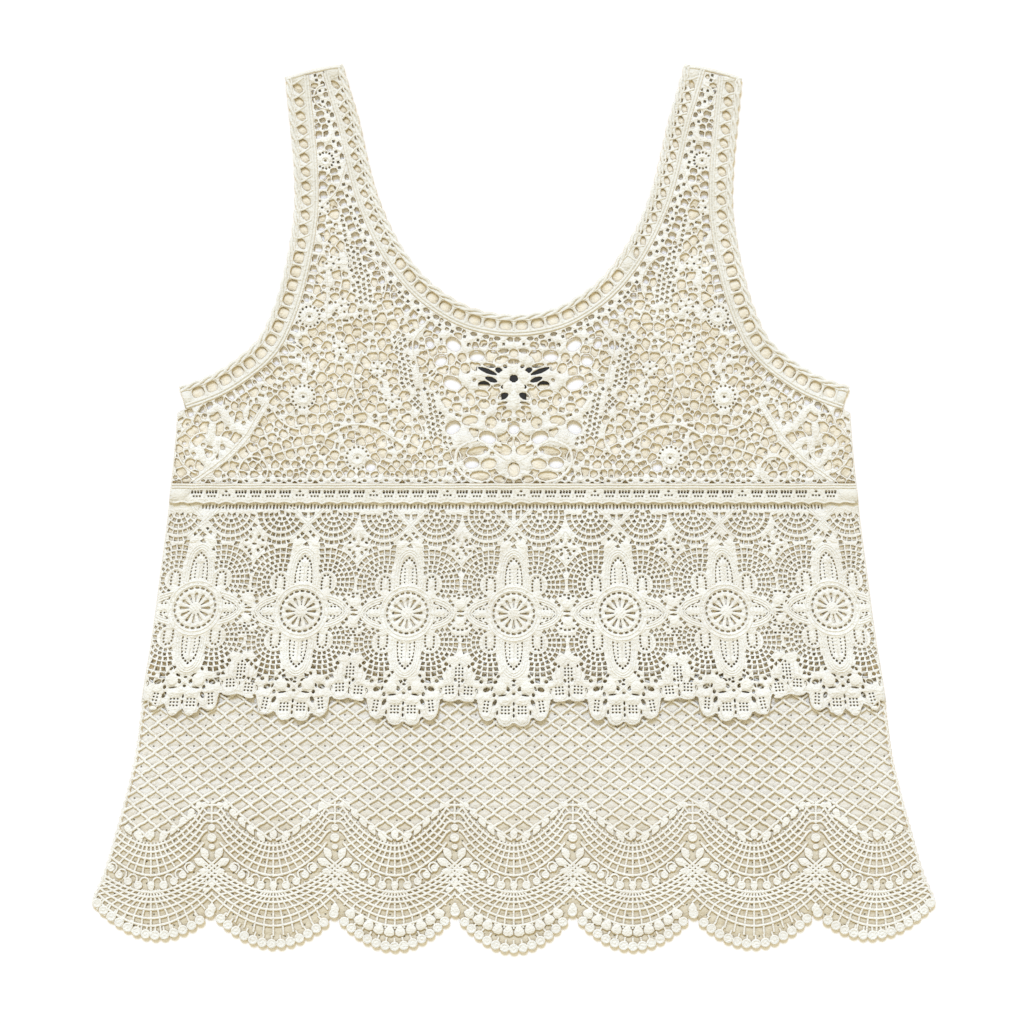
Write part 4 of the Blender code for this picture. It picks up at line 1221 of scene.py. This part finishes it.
def panelGroundSeeds():  # rows of small square holes round the fan centres, each kept by its nearest fan
    centres = []
    for cx, cy in crossMiddles():
        for sx in (1, -1):
            for (x, y), sides, weight, kind in ((panel["fanCentre"], (1,), 22.5, 0),
                                                (panel["windowCentre"], (1, -1), 25.0, 1)):
                centres.extend((cx + sx * x, cy + sy * y, weight, kind) for sy in sides)
    centres = np.array(centres)
    found = []
    for x, y, weight, kind in centres:
        for radius, depth in groundRings["window" if kind else "fan"]:
            wide = min(2.75 + 0.06 * radius, 4.4) if kind else 3.5
            count = max(1, round(2 * math.pi * radius / wide))
            for angle in 2 * math.pi * (np.arange(count) + 0.5) / count:
                px, py = x + radius * math.cos(angle), y + radius * math.sin(angle)
                score = np.hypot(centres[:, 0] - px, centres[:, 1] - py) - centres[:, 2]
                if abs(px) <= 262 and score.min() >= np.hypot(x - px, y - py) - weight - 1e-6:
                    found.append((px, py, 0.5 * depth, 0.5 * wide, angle, 4, panel["thread"], 0.0))
    return found


def panelLace():
    outline = panelOutline()
    room = roomInside(outline, 1.0)
    fixed, bands, thin, pads, leaves = [[] for kind in range(5)]

    def cut(loop, middle, edge=0.3, thread=0.95):
        both = flare(np.vstack([loop, [middle]]))
        if abs(both[:, 0]).max() < sideAt(both[-1, 1]) - 1.6:
            fixed.append((both[:-1], both[-1], edge))
            claim(room, both[:-1], both[-1], thread)

    def hole(x, y, width, height, turn=0.0, sides=6, edge=0.3):
        cut(oval(x, y, 0.5 * width, 0.5 * height, turn, sides, 2.6), (x, y), edge)

    def raiseLine(group, line, guard):
        line = flare(line)
        for part in stretches(np.abs(line[:, 0]) < sideAt(line[:, 1]) - 1.4, 2):
            group.append(line[part])
            keepLine(room, line[part], guard, 3.0)

    def pad(group, x, y, length, width, turn, height, shrink=0.2):
        px, py = flare([(x, y)])[0]
        if abs(px) + 0.5 * length < sideAt(py) - 0.5:
            group.append((px, py, length, width, turn, height))
            keepOval(room, px, py, 0.5 * length - shrink, 0.5 * width - shrink, turn)

    for cx, cy in crossMiddles():
        for dx, dy, a, b in crossRoom:
            keepOval(room, *flare([(cx + dx, cy + dy)])[0], a, b)
        for k in range(12):  # wheel with its ring of dashes
            angle = math.pi * k / 6
            way = np.array([math.cos(angle), math.sin(angle)])
            cut(turned(wedge(*panel["wheel"], 0.26, 1.0), angle) + (cx, cy), way * 7.6 + (cx, cy), 0.2, 0.6)
        for k in range(22):
            angle = 2 * math.pi * (k + 0.5) / 22
            way = np.array([math.cos(angle), math.sin(angle)])
            hole(*(way * panel["dashRadius"] + (cx, cy)), 1.35, 2.75, angle)
        for rows, angles in ((petalUp, (0, math.pi)), (petalOut, (math.pi / 2, -math.pi / 2))):
            for angle in angles:
                for inset in panel["petalInsets"]:
                    loop = turned(petalLoop(rows, inset), angle)
                    loop = loop[np.linalg.norm(loop, axis=1) > 19.3]
                    if len(loop) > 3:
                        raiseLine(bands, loop + (cx, cy), 1.0)
        for radius in panel["ringRadii"]:
            t = np.linspace(0, 2 * math.pi, 49)
            raiseLine(bands, np.column_stack([cx + radius * np.cos(t), cy + radius * np.sin(t)]), 1.0)
        for sy in (1, -1):  # dotted arches in the upright petals
            arch = evenLine(smoothLine([(5.8, 20.2), (6.0, 25), (5.2, 30), (3.6, 34.2), (0, 37.6)], 1.0), 2.3)
            for (x, y), (dx, dy) in zip(arch, np.gradient(arch, axis=0)):
                for sx in (1, -1) if x > 0.8 else (1,):
                    hole(cx + sx * x, cy + sy * y, 1.25, 1.5, math.atan2(dy * sy, dx * sx) + math.pi / 2)
            for y in np.arange(21.0, 31.0, 2.3):
                for sx in (1, -1):
                    hole(cx + sx * 2.7, cy + sy * y, 0.85, 0.85, 0, 5, 0.2)
            raiseLine(thin, np.array([(cx, cy + sy * 20.5), (cx, cy + sy * 27.0), (cx, cy + sy * 34.0)]), 0.5)
            for x, y in ((28.3, 1.5), (25.8, 3.5), (22.6, 5.2), (18.9, 6.6)):
                for sx in (1, -1):
                    hole(cx + sx * x, cy + sy * y, 2.5, 1.3, math.atan2(-2.4 * sy, 4.0 * sx))
            for x in (18.2, 20.6, 23.0):
                for sx in (1, -1):
                    hole(cx + sx * x, cy + sy * 3.2, 1.2, 1.1, 0, 5, 0.2)
            for sx in (1, -1):  # dotted arches round a smooth pad, between the petals
                x0, y0 = cx + sx * panel["windowCentre"][0], cy + sy * panel["windowCentre"][1]
                for dx, dy, turn in windowDots:
                    hole(x0 + sx * dx, y0 + sy * dy, 1.15, 1.45, sx * sy * turn)
                pad(pads, x0 + sx * 0.2, y0 - sy * 0.4, 6.6, 2.6, math.pi / 2, 0.4, 0.4)
                t = np.linspace(-0.25 * math.pi, 0.8 * math.pi, 12)
                arch = np.column_stack([x0 + sx * (0.2 + 5.2 * np.cos(t)), y0 + sy * (6.9 * np.sin(t))])
                raiseLine(thin, arch, 0.5)
        for sx in (1, -1):  # leaves and double lines that cross above the upper petal
            pad(leaves, cx + sx * 5.9, cy + 46.6, 8.6, 4.2, sx * -0.45, 0.5)
            for shift in (0.0, 2.6):
                line = np.array([(cx + sx * (9.5 + shift), cy + 49.4), (cx + sx * (shift - 0.5), cy + 58.8),
                                 (cx + sx * (shift - 13.5), cy + 71.5)])
                raiseLine(thin, evenLine(line, 2.2), 0.55)
        bow = 1.5 * (abs(cx) / (3 * garment["crossPitch"])) ** 2
        for half, rise, columns, rows, turn in lobeGrids:
            for sx in (1, -1):
                for i in range(columns):
                    for j in range(rows):
                        spot = turned(np.array([[2.25 * (i - 0.5 * (columns - 1)), 2.25 * (j - 0.5 * (rows - 1))]]),
                                      sx * math.radians(turn))[0]
                        hole(cx + sx * half + spot[0], cy + rise + bow + spot[1], 1.2, 1.2, 0, 5, 0.22)
        for half, rise, width, height, turn in lobeGaps:
            if half > 30 and abs(cx) > 216:
                continue
            for sx in (1, -1) if half else (1,):
                hole(cx + sx * half, cy + rise + bow, width, height, sx * math.radians(turn), 7)
        for half, rise, length, width, turn in lobePads:
            for sx in (1, -1):
                pad(pads, cx + sx * half, cy + rise + bow, length, width, sx * math.radians(turn), 0.55, 0.6)
        for sx in (1, -1):  # corded edges of the petals in a lobe
            for half, rise, width, height, turn in lobeFrames:
                t = np.linspace(0.05 * math.pi, -1.05 * math.pi, 16)
                loop = turned(np.column_stack([width * np.cos(t), height * np.sin(t)]), sx * math.radians(turn))
                raiseLine(thin, loop + (cx + sx * half, cy + rise + bow), 0.35)
            raiseLine(thin, evenLine([(cx + sx * -3.4, cy - 47.8 + bow), (cx + sx * 4.4, cy - 55.4 + bow)], 2.0), 0.4)
    for k in range(-4, 4):  # between the crosses
        x = (k + 0.5) * garment["crossPitch"]
        cy = up(garment["crossDrop"] - garment["crossBow"] * min(1, (abs(k + 0.5) / 3)) ** 2)
        if abs(x) > 250:
            continue
        for dy in (1.5, -1.5):
            hole(x, cy + dy, 4.8, 1.1)
        for dy, r in ((6.8, 3.7), (-6.0, 3.2)):
            pad(pads, x, cy + dy, 2 * r, 1.8 * r, 0, 0.55)
            for sx in (1, -1):
                hole(x + sx * (r + 1.9), cy + dy - np.sign(dy) * 1.4, 2.0, 2.6, sx * dy * 0.08, 7)
        for dy, reach in ((13.0, 1), (-11.2, 1), (-15.6, 0)):
            for j in (-1.5, -0.5, 0.5, 1.5):
                hole(x + 2.9 * j, cy + dy - 0.45 * j * j * reach * np.sign(dy), 1.9, 1.5, 0, 4)
        fx, fy = x, cy + 45.2  # diamond flower above, in its corded frame
        for sx in (1, -1):
            for sy in (1, -1):
                frame = [(fx + sx * 9.4, fy), (fx + sx * 4.7, fy + sy * 5.8), (fx, fy + sy * 11.4)]
                raiseLine(thin, np.array(frame), 0.7)
                hole(fx + sx * 3.0, fy + sy * 4.6, 1.6, 2.6, sx * sy * -0.5, 7)
                hole(fx + sx * 5.8, fy + sy * 2.4, 2.0, 1.3, sx * sy * -0.4, 7)
        hole(fx, fy, 3.0, 1.2)
        for dx, dy, length, width, turn in flowerLeaves:
            pad(leaves, fx + dx, fy + dy, length, width, math.radians(turn), 0.5)
        hole(x, cy - 35.0, 1.1, 1.5)  # tulip below: two leaves over a bell with a dotted grid
        for i in (-1, 0, 1):
            for j in range(5):
                hole(x + 2.2 * i, cy - 37.0 - 2.3 * j - 0.3, 1.15, 1.3, 0, 5, 0.22)
        for sx in (1, -1):
            pad(leaves, x + sx * 4.6, cy - 31.4, 9.4, 5.2, sx * -0.15, 0.55)
            hole(x + sx * 8.8, cy - 34.4, 2.6, 2.2, sx * 0.6, 7)
            for points, guard in ((((5.0, 35.4), (4.9, 42.0), (3.8, 47.0), (0.8, 49.6)), 0.8),
                                  (((8.2, 36.6), (8.4, 42.0), (7.0, 46.4)), 0.6)):
                raiseLine(thin, smoothLine([(x + sx * out, cy - down) for out, down in points], 1.6), guard)
    for x in np.arange(-226, 226.5, 2.5):  # short upright slits under the band
        hole(x * (1 - 0.0001 * abs(x)), up(302.6), 1.15, 3.4 + 0.7 * math.sin(0.9 * x), 0, 6)
    holes = fitHoles(fixed, outline, 0.42)
    ground = np.array([s for s in panelGroundSeeds() if up(garment["crossDrop"]) - 46.0 < s[1] < up(306.2)])
    ground[:, :2] = flare(ground[:, :2])
    ground = ground[insideOf(ground[:, :2], outline)]
    holes.extend(growHoles(ground, room, 14.0, 0.3))
    plate = lacePlate("ground", outline, holes, panelBase, 1.2, 0.38)
    lobes = lobeLine()
    rim = lobes + leftWay(lobes) * 0.9
    parts = [cords("motifCords", bands, 0.66, panelBase, 1.0, 1),
             cords("thinCords", thin, 0.5, panelBase, 1.1, 0),
             cords("lobeRim", [rim[2:-2:2]], 0.62, panelBase, 1.0, 0),
             copies("motifPads", "pad", pads, panelBase, 1.05),
             copies("motifLeaves", "leaf", leaves, panelBase, 1.05)]
    finishPiece("panel_lace_front", [plate], threads["front"], "lace_panel_front", outline, parts)


panelLace()
print("lace panel made")

# skirt: a diamond net with two tiers of shells and a beaded hem
skirt = {
    "top": 418.0,
    "cellWidth": 12.85,
    "cellHeight": 10.25,
    "threadRadius": 1.05,
    "arcRadius": 0.92,
    "rayRadius": 0.8,
    "flatness": 0.62,  # height of a worked thread against its width
    "tierTop": 505.0,
    "archPitch": 7.3,
    "archStart": 3.7,
    "dropPitch": 7.3,  # of the drops above the beaded edge
    "beadPitch": 7.05,
    "beadInset": 3.5,  # of the beads' middles from the hem
    "beadFoot": 9.5,  # of the ends of the threads that they hang on
    "beadLength": 7.1,
    "beadWidth": 6.9,
    "beadRise": 1.3,
    "lowest": 572.0,  # drop to which the sides are measured
    "sideRoom": 2.6,  # between a bead's middle and the side
}
upperArcs = (  # depth below the tiers' top, rise to the towers, ray pitch near the root and farther out, reach
    (29.3, 27.6, 2.6, 4.4, 1.0), (33.6, 26.4, 3.1, 4.5, 1.0), (38.2, 25.4, 3.9, 4.7, 1.0), (43.8, 24.8, 4.9, 5.0, 0.93),
    (49.6, 23.6, 5.9, 5.5, 0.87),
)
lowerArcs = (
    (61.2, 19.4, 1.7, 4.2, 1.16), (64.4, 19.4, 2.4, 4.4, 1.16), (68.0, 19.6, 3.4, 4.6, 1.16),
    (73.1, 20.4, 4.7, 5.0, 1.14), (79.0, 21.6, 5.9, 5.6, 1.1), (84.2, 22.2, 6.4, 6.2, 1.02),
)
dropRow = (87.6, 22.4)  # depth and rise of the drops
archForm = ((-2.9, -7.4), (-3.0, -4.4), (-2.1, -2.5), (0, -1.7), (2.1, -2.5), (3.0, -4.4), (2.9, -7.4))
# half, depth, size
festoonPads = ((8.1, 23.2, 8.4), (15.2, 18.6, 7.4), (21.2, 13.4, 7.4), (27.0, 7.6, 7.4), (32.4, 2.2, 6.4))
rootPads = (  # half, depth, width, height
    (0, 21.4, 5.6, 7.6), (0, 56.8, 4.8, 7.4), (8.7, 56.3, 6.2, 6.0), (15.7, 53.6, 5.8, 5.8), (21.8, 49.2, 5.6, 5.6),
    (27.2, 44.6, 5.2, 5.2),
)
towerPads = ((16.8, 5.4, 5.0), (23.8, 6.8, 6.2), (30.0, 4.6, 4.0), (54.0, 5.4, 5.4))  # depth, width, height
towerLeaves = (  # half, depth, length, width, turn
    (4.9, 34.2, 9.4, 5.8, 56), (8.0, 40.4, 10.0, 6.0, 26), (5.8, 46.6, 7.0, 4.2, 4), (5.2, 1.4, 5.6, 4.4, 20),
    (4.4, 59.4, 4.6, 3.4, -30),
)


def shellCentres():
    rows = [row[1] for row in outlineRows["notches"]]
    right = [(0.0, rows[0]), *[((a + b) / 2, (b - a) / 2) for a, b in zip(rows, rows[1:])]]
    return [*right, *[(-x, w) for x, w in right if x]]


def upperY(x, width, row):
    u = np.minimum(np.abs(np.asarray(x, float) / width), 1)
    share = eased((u - 0.76) / 0.24)  # turns over in a round peak at the towers
    return up(skirt["tierTop"] + row[0]) + row[1] * ((1 - share) * 1.2 * u**1.9 + share)


def lowerY(x, width, row):
    return up(skirt["tierTop"] + row[0]) + row[1] * np.abs(np.asarray(x, float) / width) ** 1.88


def insideSkirt(line, margin=1.0):  # the runs of a line that lie inside the sides
    return [line[part] for part in stretches(np.abs(line[:, 0]) < sideAt(line[:, 1]) - margin, 1)]


def skirtOutline(start, inset=0.0):
    side = sidePoints(start, 573.0, 6.0)[:-1] - (inset, 0)
    edge = sideAt(up(start)) - inset
    top = level(np.linspace(edge, -edge, 80)[1:-1], up(start))
    hem = hemLine(16)[::-1]
    hem = hem + np.column_stack([-inset * np.sign(hem[:, 0]) * (np.abs(hem[:, 0]) > 280), np.full(len(hem), inset)])
    return np.vstack([top, side * (-1, 1), hem, side[::-1]])


def netThreads():  # two sets of slanting threads, from the top of the skirt down to the festoons over the shells
    lines, widthHere, top = [], sideAt(up(460)), up(skirt["top"] + 1.2)
    ys = np.arange(top, up(560), -1.8)
    bend = np.sin(4 * math.pi * (ys - top) / skirt["cellHeight"])  # each cell has an arched top
    for way in (1, -1):
        for k in range(-60, 61):
            xs = way * (ys - top - k * skirt["cellHeight"]) / (skirt["cellHeight"] / skirt["cellWidth"])
            xx = xs * sideAt(ys) / widthHere + 0.3 * np.sin(ys / 7.3 + k) + 0.25 * np.sin(xs / 9.1 + 2 * k)
            floor = np.full(len(xx), -1e9)
            for cx, w in shellCentres():
                near = np.abs(xx - cx) <= w + 0.6
                floor = np.where(near, np.maximum(floor, upperY(xx - cx, w, (25.5, 24.5))), floor)
            for part in stretches((np.abs(xx) < sideAt(ys) - 0.9) & (ys > floor - 0.5), 2):
                lift = 0.2 * way * np.cos(2 * math.pi * (ys[part] - top) / skirt["cellHeight"])
                lines.append(np.column_stack([xx[part], (ys + 0.42 * bend)[part], lift]))
    return lines


def shellLines(cx, w, rows, lineOf, foot):
    # the arcs of one tier of a shell, and rays that spread from its root through all of them
    arcs, rays, table = [], [], []
    for row in rows:
        x = np.linspace(0, row[4] * w, 40)
        line = np.column_stack([x, lineOf(x, w, row)])
        table.append((line, runs(line), row))
        arcs.extend(insideSkirt(np.vstack([mirrored(line), line[1:]]) + (cx, 0)))
    for number in range(16):
        points = []
        for line, length, row in table:
            s = min(number, 4) * row[2] + max(number - 4, 0) * row[3]
            if s > length[-1] * min(1, 0.97 / row[4]):
                break
            points.append(pick(line, length, s))
        if len(points) == len(table):
            points.append(points[-1] + foot * (points[-1] - points[-2]))
        if len(points) > 1:
            points[0] = points[0] + 0.5 * (points[0] - points[1])
            for sx in (1, -1) if number else (1,):
                rays.extend(insideSkirt(np.array(points) * (sx, 1) + (cx, 0)))
    return arcs, rays, table[-1]


def skirtFront():
    arcs, rays, edges, leaves, pads, drops, beads = [[] for kind in range(7)]

    def place(group, x, depth, a, b, turn, height):
        y = up(skirt["tierTop"] + depth)
        if abs(x) < sideAt(max(y, up(skirt["lowest"]))) - skirt["sideRoom"]:
            group.append((x, y, a, b, turn, height))

    for cx, w in shellCentres():
        inner = abs(cx) < 140  # the outer shells have no row of drops, so their rays run on to the beads
        for rows, lineOf, foot in ((upperArcs, upperY, 0.15), (lowerArcs, lowerY, 0.4 if inner else 1.3)):
            newArcs, newRays, lowest = shellLines(cx, w, rows, lineOf, foot)
            arcs.extend(newArcs)
            rays.extend(newRays)
            if rows is upperArcs:  # looped arches hang from its lowest arc
                line, length = lowest[:2]
        for s in np.arange(skirt["archStart"], 0.7 * length[-1], skirt["archPitch"]):
            spot = pick(line, length, s)
            ahead = pick(line, length, s + 0.5) - spot
            arch = turned(archForm, math.atan2(ahead[1], ahead[0])) + spot
            for sx in (1, -1):
                rays.extend(insideSkirt(arch * (sx, 1) + (cx, 0)))
        for half, depth, size in festoonPads:
            for sx in (1, -1):
                place(drops, cx + sx * half, depth, 1.15 * size, size, math.pi / 2 - sx * 0.5, 0.35)
        for half, depth, a, b in rootPads:
            for sx in (1, -1) if half else (1,):
                place(beads if half else pads, cx + sx * half, depth, a, b, 0, 0.9 if half else 0.4)
        if not inner:
            continue
        t = np.linspace(0, 0.8 * w, 60)
        row = np.column_stack([t, lowerY(t, w, dropRow)])
        length, way = runs(row), leftWay(row)
        for s in np.arange(0.5 * skirt["dropPitch"], length[-1], skirt["dropPitch"]):
            x, y, dx, dy = pick(np.column_stack([row, way]), length, s)
            for sx in (1, -1):
                place(drops, cx + sx * x, up(skirt["tierTop"]) - y, 8.8, 11.6, math.atan2(-dy, -sx * dx), 0.9)
    for row in outlineRows["notches"][:3]:  # towers between the shells
        for tower in (row[1], -row[1]):
            for depth, a, b in towerPads:
                place(beads, tower, depth, a, b, 0, 0.7)
            for out, depth, length, width, turn in towerLeaves:
                for sx in (1, -1):
                    angle = math.radians(turn if sx > 0 else 180 - turn)
                    place(leaves, tower + sx * out, depth, length, width, angle, 0.55)
            place(drops, tower, 71.6, 7.4, 9.4, -math.pi / 2, 0.7)
            edges.append(np.array([(tower, up(skirt["tierTop"] + depth)) for depth in (-1.5, 7.0, 14.0)]))
    hem = hemLine(24)
    total = runs(hem)
    count = round(total[-1] / skirt["beadPitch"])
    line, inner = hem - leftWay(hem) * skirt["beadInset"], hem - leftWay(hem) * skirt["beadFoot"]
    for s in (np.arange(count) + 0.5) * total[-1] / count:
        x, y = pick(line, total, s)
        if abs(x) < sideAt(max(y, up(skirt["lowest"]))) - skirt["sideRoom"]:
            beads.append((x, y, skirt["beadLength"], skirt["beadWidth"], 0, skirt["beadRise"]))
            rays.extend(insideSkirt(np.array([(x, y), pick(inner, total, s)]), 2.0))
    for sx in (1, -1):
        side = sidePoints(skirt["top"] + 1.0, 571.0, 1.8)
        swing = np.sin(side[:, 1] * 2 * math.pi / (0.5 * skirt["cellHeight"]))  # a row of small loops down each side
        edges.append((side - level(1.7 + 0.75 * swing, 0)) * (sx, 1))
    edges.append(level(np.linspace(-251, 251, 160), up(skirt["top"] + 1.2)))
    low = skirt["flatness"]
    net = [cords("net", netThreads(), skirt["threadRadius"], frontBase, 0.55, 1, low),
           cords("netEdge", edges, 0.9, frontBase, 0.55, 1, low),
           cords("arcs", arcs, skirt["arcRadius"], frontBase, 0.6, 1, low)]
    shell = [cords("rays", rays, skirt["rayRadius"], frontBase, 0.5, 1, low),
             copies("skirtLeaves", "leaf", leaves, frontBase, 0.7),
             copies("skirtPads", "pad", pads, frontBase, 0.7),
             copies("skirtDrops", "petal", drops, frontBase, 0.75),
             copies("skirtBeads", "bead", beads, frontBase, 0.6)]
    finishPiece("skirt_lace_front", net, threads["front"], "skirt_front",
                skirtOutline(skirt["top"]), shell)


skirtFront()


def backPlate(name, outline, node, pitch, size, number, material):
    # a back layer: dense lace with small holes in staggered rows
    rng = np.random.default_rng(number)
    low, high = outline.min(axis=0), outline.max(axis=0)
    seeds = []
    for row, y in enumerate(np.arange(low[1] + 2, high[1], pitch * 0.8)):
        for x in np.arange(low[0] + (0.5 * pitch if row % 2 else 0), high[0], pitch):
            seeds.append((x + rng.uniform(-0.5, 0.5), y + rng.uniform(-0.5, 0.5), size, size * 0.9,
                          rng.uniform(-0.3, 0.3), 4, 1.4, 0.0))
    seeds = np.array(seeds)
    holes = growHoles(seeds[insideOf(seeds[:, :2], outline)], roomInside(outline, 1.6), least=0.3)
    plate = lacePlate(name, outline, holes, backBase, garment["backWall"], 0.35)
    finishPiece(name, [plate], threads[material], node, outline)


def panelBackOutline(start, end):
    side = sidePoints(start, end, 6.0)
    wide, low = sideAt(up(start)), sideAt(up(end))
    return np.vstack([level(np.linspace(wide, -wide, 80)[1:-1], up(start)), side * (-1, 1),
                      level(np.linspace(-low, low, 80)[1:-1], up(end)), side[::-1]])


backPlate("skirt_lace_back", skirtOutline(430.0, 3.0), "skirt_back", 9.0, 0.5, 41, "shellBack")
backPlate("panel_lace_back", panelBackOutline(300.3, 429.7), "lace_panel_back", 6.0, 0.8, 42, "back")
print("skirts and back panel made")


def patternMaterial(name, roughness, kind, settings, low, high):
    made = bpy.data.materials.new(name)
    made.use_nodes = True
    tree = made.node_tree
    shader = tree.nodes["Principled BSDF"]
    shader.inputs["Roughness"].default_value = roughness
    place = addNode(tree, "ShaderNodeTexCoord")
    pattern = addNode(tree, kind, settings, {"Vector": place.outputs["Object"]})
    ramp = addNode(tree, "ShaderNodeValToRGB", links={"Fac": pattern.outputs["Fac"]})
    for element, code in zip(ramp.color_ramp.elements, (low, high)):
        element.color = linear(code)
    tree.links.new(ramp.outputs["Color"], shader.inputs["Base Color"])
    return made


# label: plain black woven tape, blank; below the tape only a narrow loop hangs on
label = {"width": 51.0, "height": 24.4, "middle": 219.0, "loopHalf": 8.5, "thickness": 0.5, "lift": 1.75}


def labelPiece():
    deselect()
    bpy.ops.mesh.primitive_grid_add(x_subdivisions=30, y_subdivisions=12, size=1)
    made = bpy.context.active_object
    for v in made.data.vertices:
        x, y = v.co.x * label["width"], v.co.y * label["height"]
        v.co = Vector((x * mm, (y + up(label["middle"])) * mm, (label["lift"] + 0.1 * math.sin(x / 5.0)) * mm))
    bpy.ops.object.mode_set(mode="EDIT")
    bpy.ops.mesh.select_all(action="DESELECT")
    bpy.ops.object.mode_set(mode="OBJECT")
    for face in made.data.polygons:
        outside = abs(face.center.x) > (label["loopHalf"] + 0.1) * mm
        face.select = outside and face.center.y < up(label["middle"] - 0.1) * mm
    bpy.ops.object.mode_set(mode="EDIT")
    bpy.ops.mesh.delete(type="FACE")
    bpy.ops.object.mode_set(mode="OBJECT")
    solid = made.modifiers.new("thickness", "SOLIDIFY")
    solid.thickness = label["thickness"] * mm
    solid.offset = 1.0
    bpy.ops.object.modifier_apply(modifier="thickness")
    tape = patternMaterial("Black woven tape", 0.7, "ShaderNodeTexWave",
                           {"Scale": 1 / 0.0032, "bands_direction": "Y", "Distortion": 0.4}, "#141416", "#202022")
    half, high, loop = 0.5 * label["width"], 0.5 * label["height"], label["loopHalf"]
    corners = [(-loop, -high), (loop, -high), (loop, 0), (half, 0), (half, high), (-half, high), (-half, 0), (-loop, 0)]
    finishPiece("blank_label", [made], tape, "neck_label", np.array(corners))


labelPiece()
print("label made")

# floor, light and camera
studio = {
    "floorSize": 60.0,
    "floor": ("#FCFCFC", "#FEFEFE"),
    "fill": 0.79,
    "fillColour": (1, 0.89, 0.622, 1),
    "key": 2.74,
    "keyColour": (0.574, 0.705, 1.0),
    "keyWay": (0.1, -0.68, -0.72),
    "keySpread": 18,
    "place": (-0.0012, -0.002, 1.656),
    "lens": 85.0,
}


def makeStudio():
    deselect()
    bpy.ops.mesh.primitive_plane_add(size=studio["floorSize"], location=(0, 0, 0))
    floor = bpy.context.active_object
    floor.name = "floor"
    floor.data.name = "floor"
    paper = patternMaterial("White paper floor", 0.9, "ShaderNodeTexNoise", {"Scale": 2.0}, *studio["floor"])
    floor.data.materials.append(paper)
    scene = bpy.context.scene
    scene.world = bpy.data.worlds.new("studio")
    scene.world.use_nodes = True
    background = scene.world.node_tree.nodes["Background"]
    background.inputs["Color"].default_value = studio["fillColour"]
    background.inputs["Strength"].default_value = studio["fill"]
    key = bpy.data.lights.new("key", "SUN")
    key.energy, key.angle, key.color = studio["key"], math.radians(studio["keySpread"]), studio["keyColour"]
    sun = bpy.data.objects.new("key", key)
    sun.rotation_euler = Vector(studio["keyWay"]).to_track_quat("-Z", "Y").to_euler()
    lens = bpy.data.cameras.new("camera")
    lens.lens = studio["lens"]
    lens.clip_end = 20
    camera = bpy.data.objects.new("camera", lens)
    camera.location = studio["place"]
    for thing in (sun, camera):
        scene.collection.objects.link(thing)
    scene.camera = camera
    scene.view_settings.view_transform = "Standard"


makeStudio()
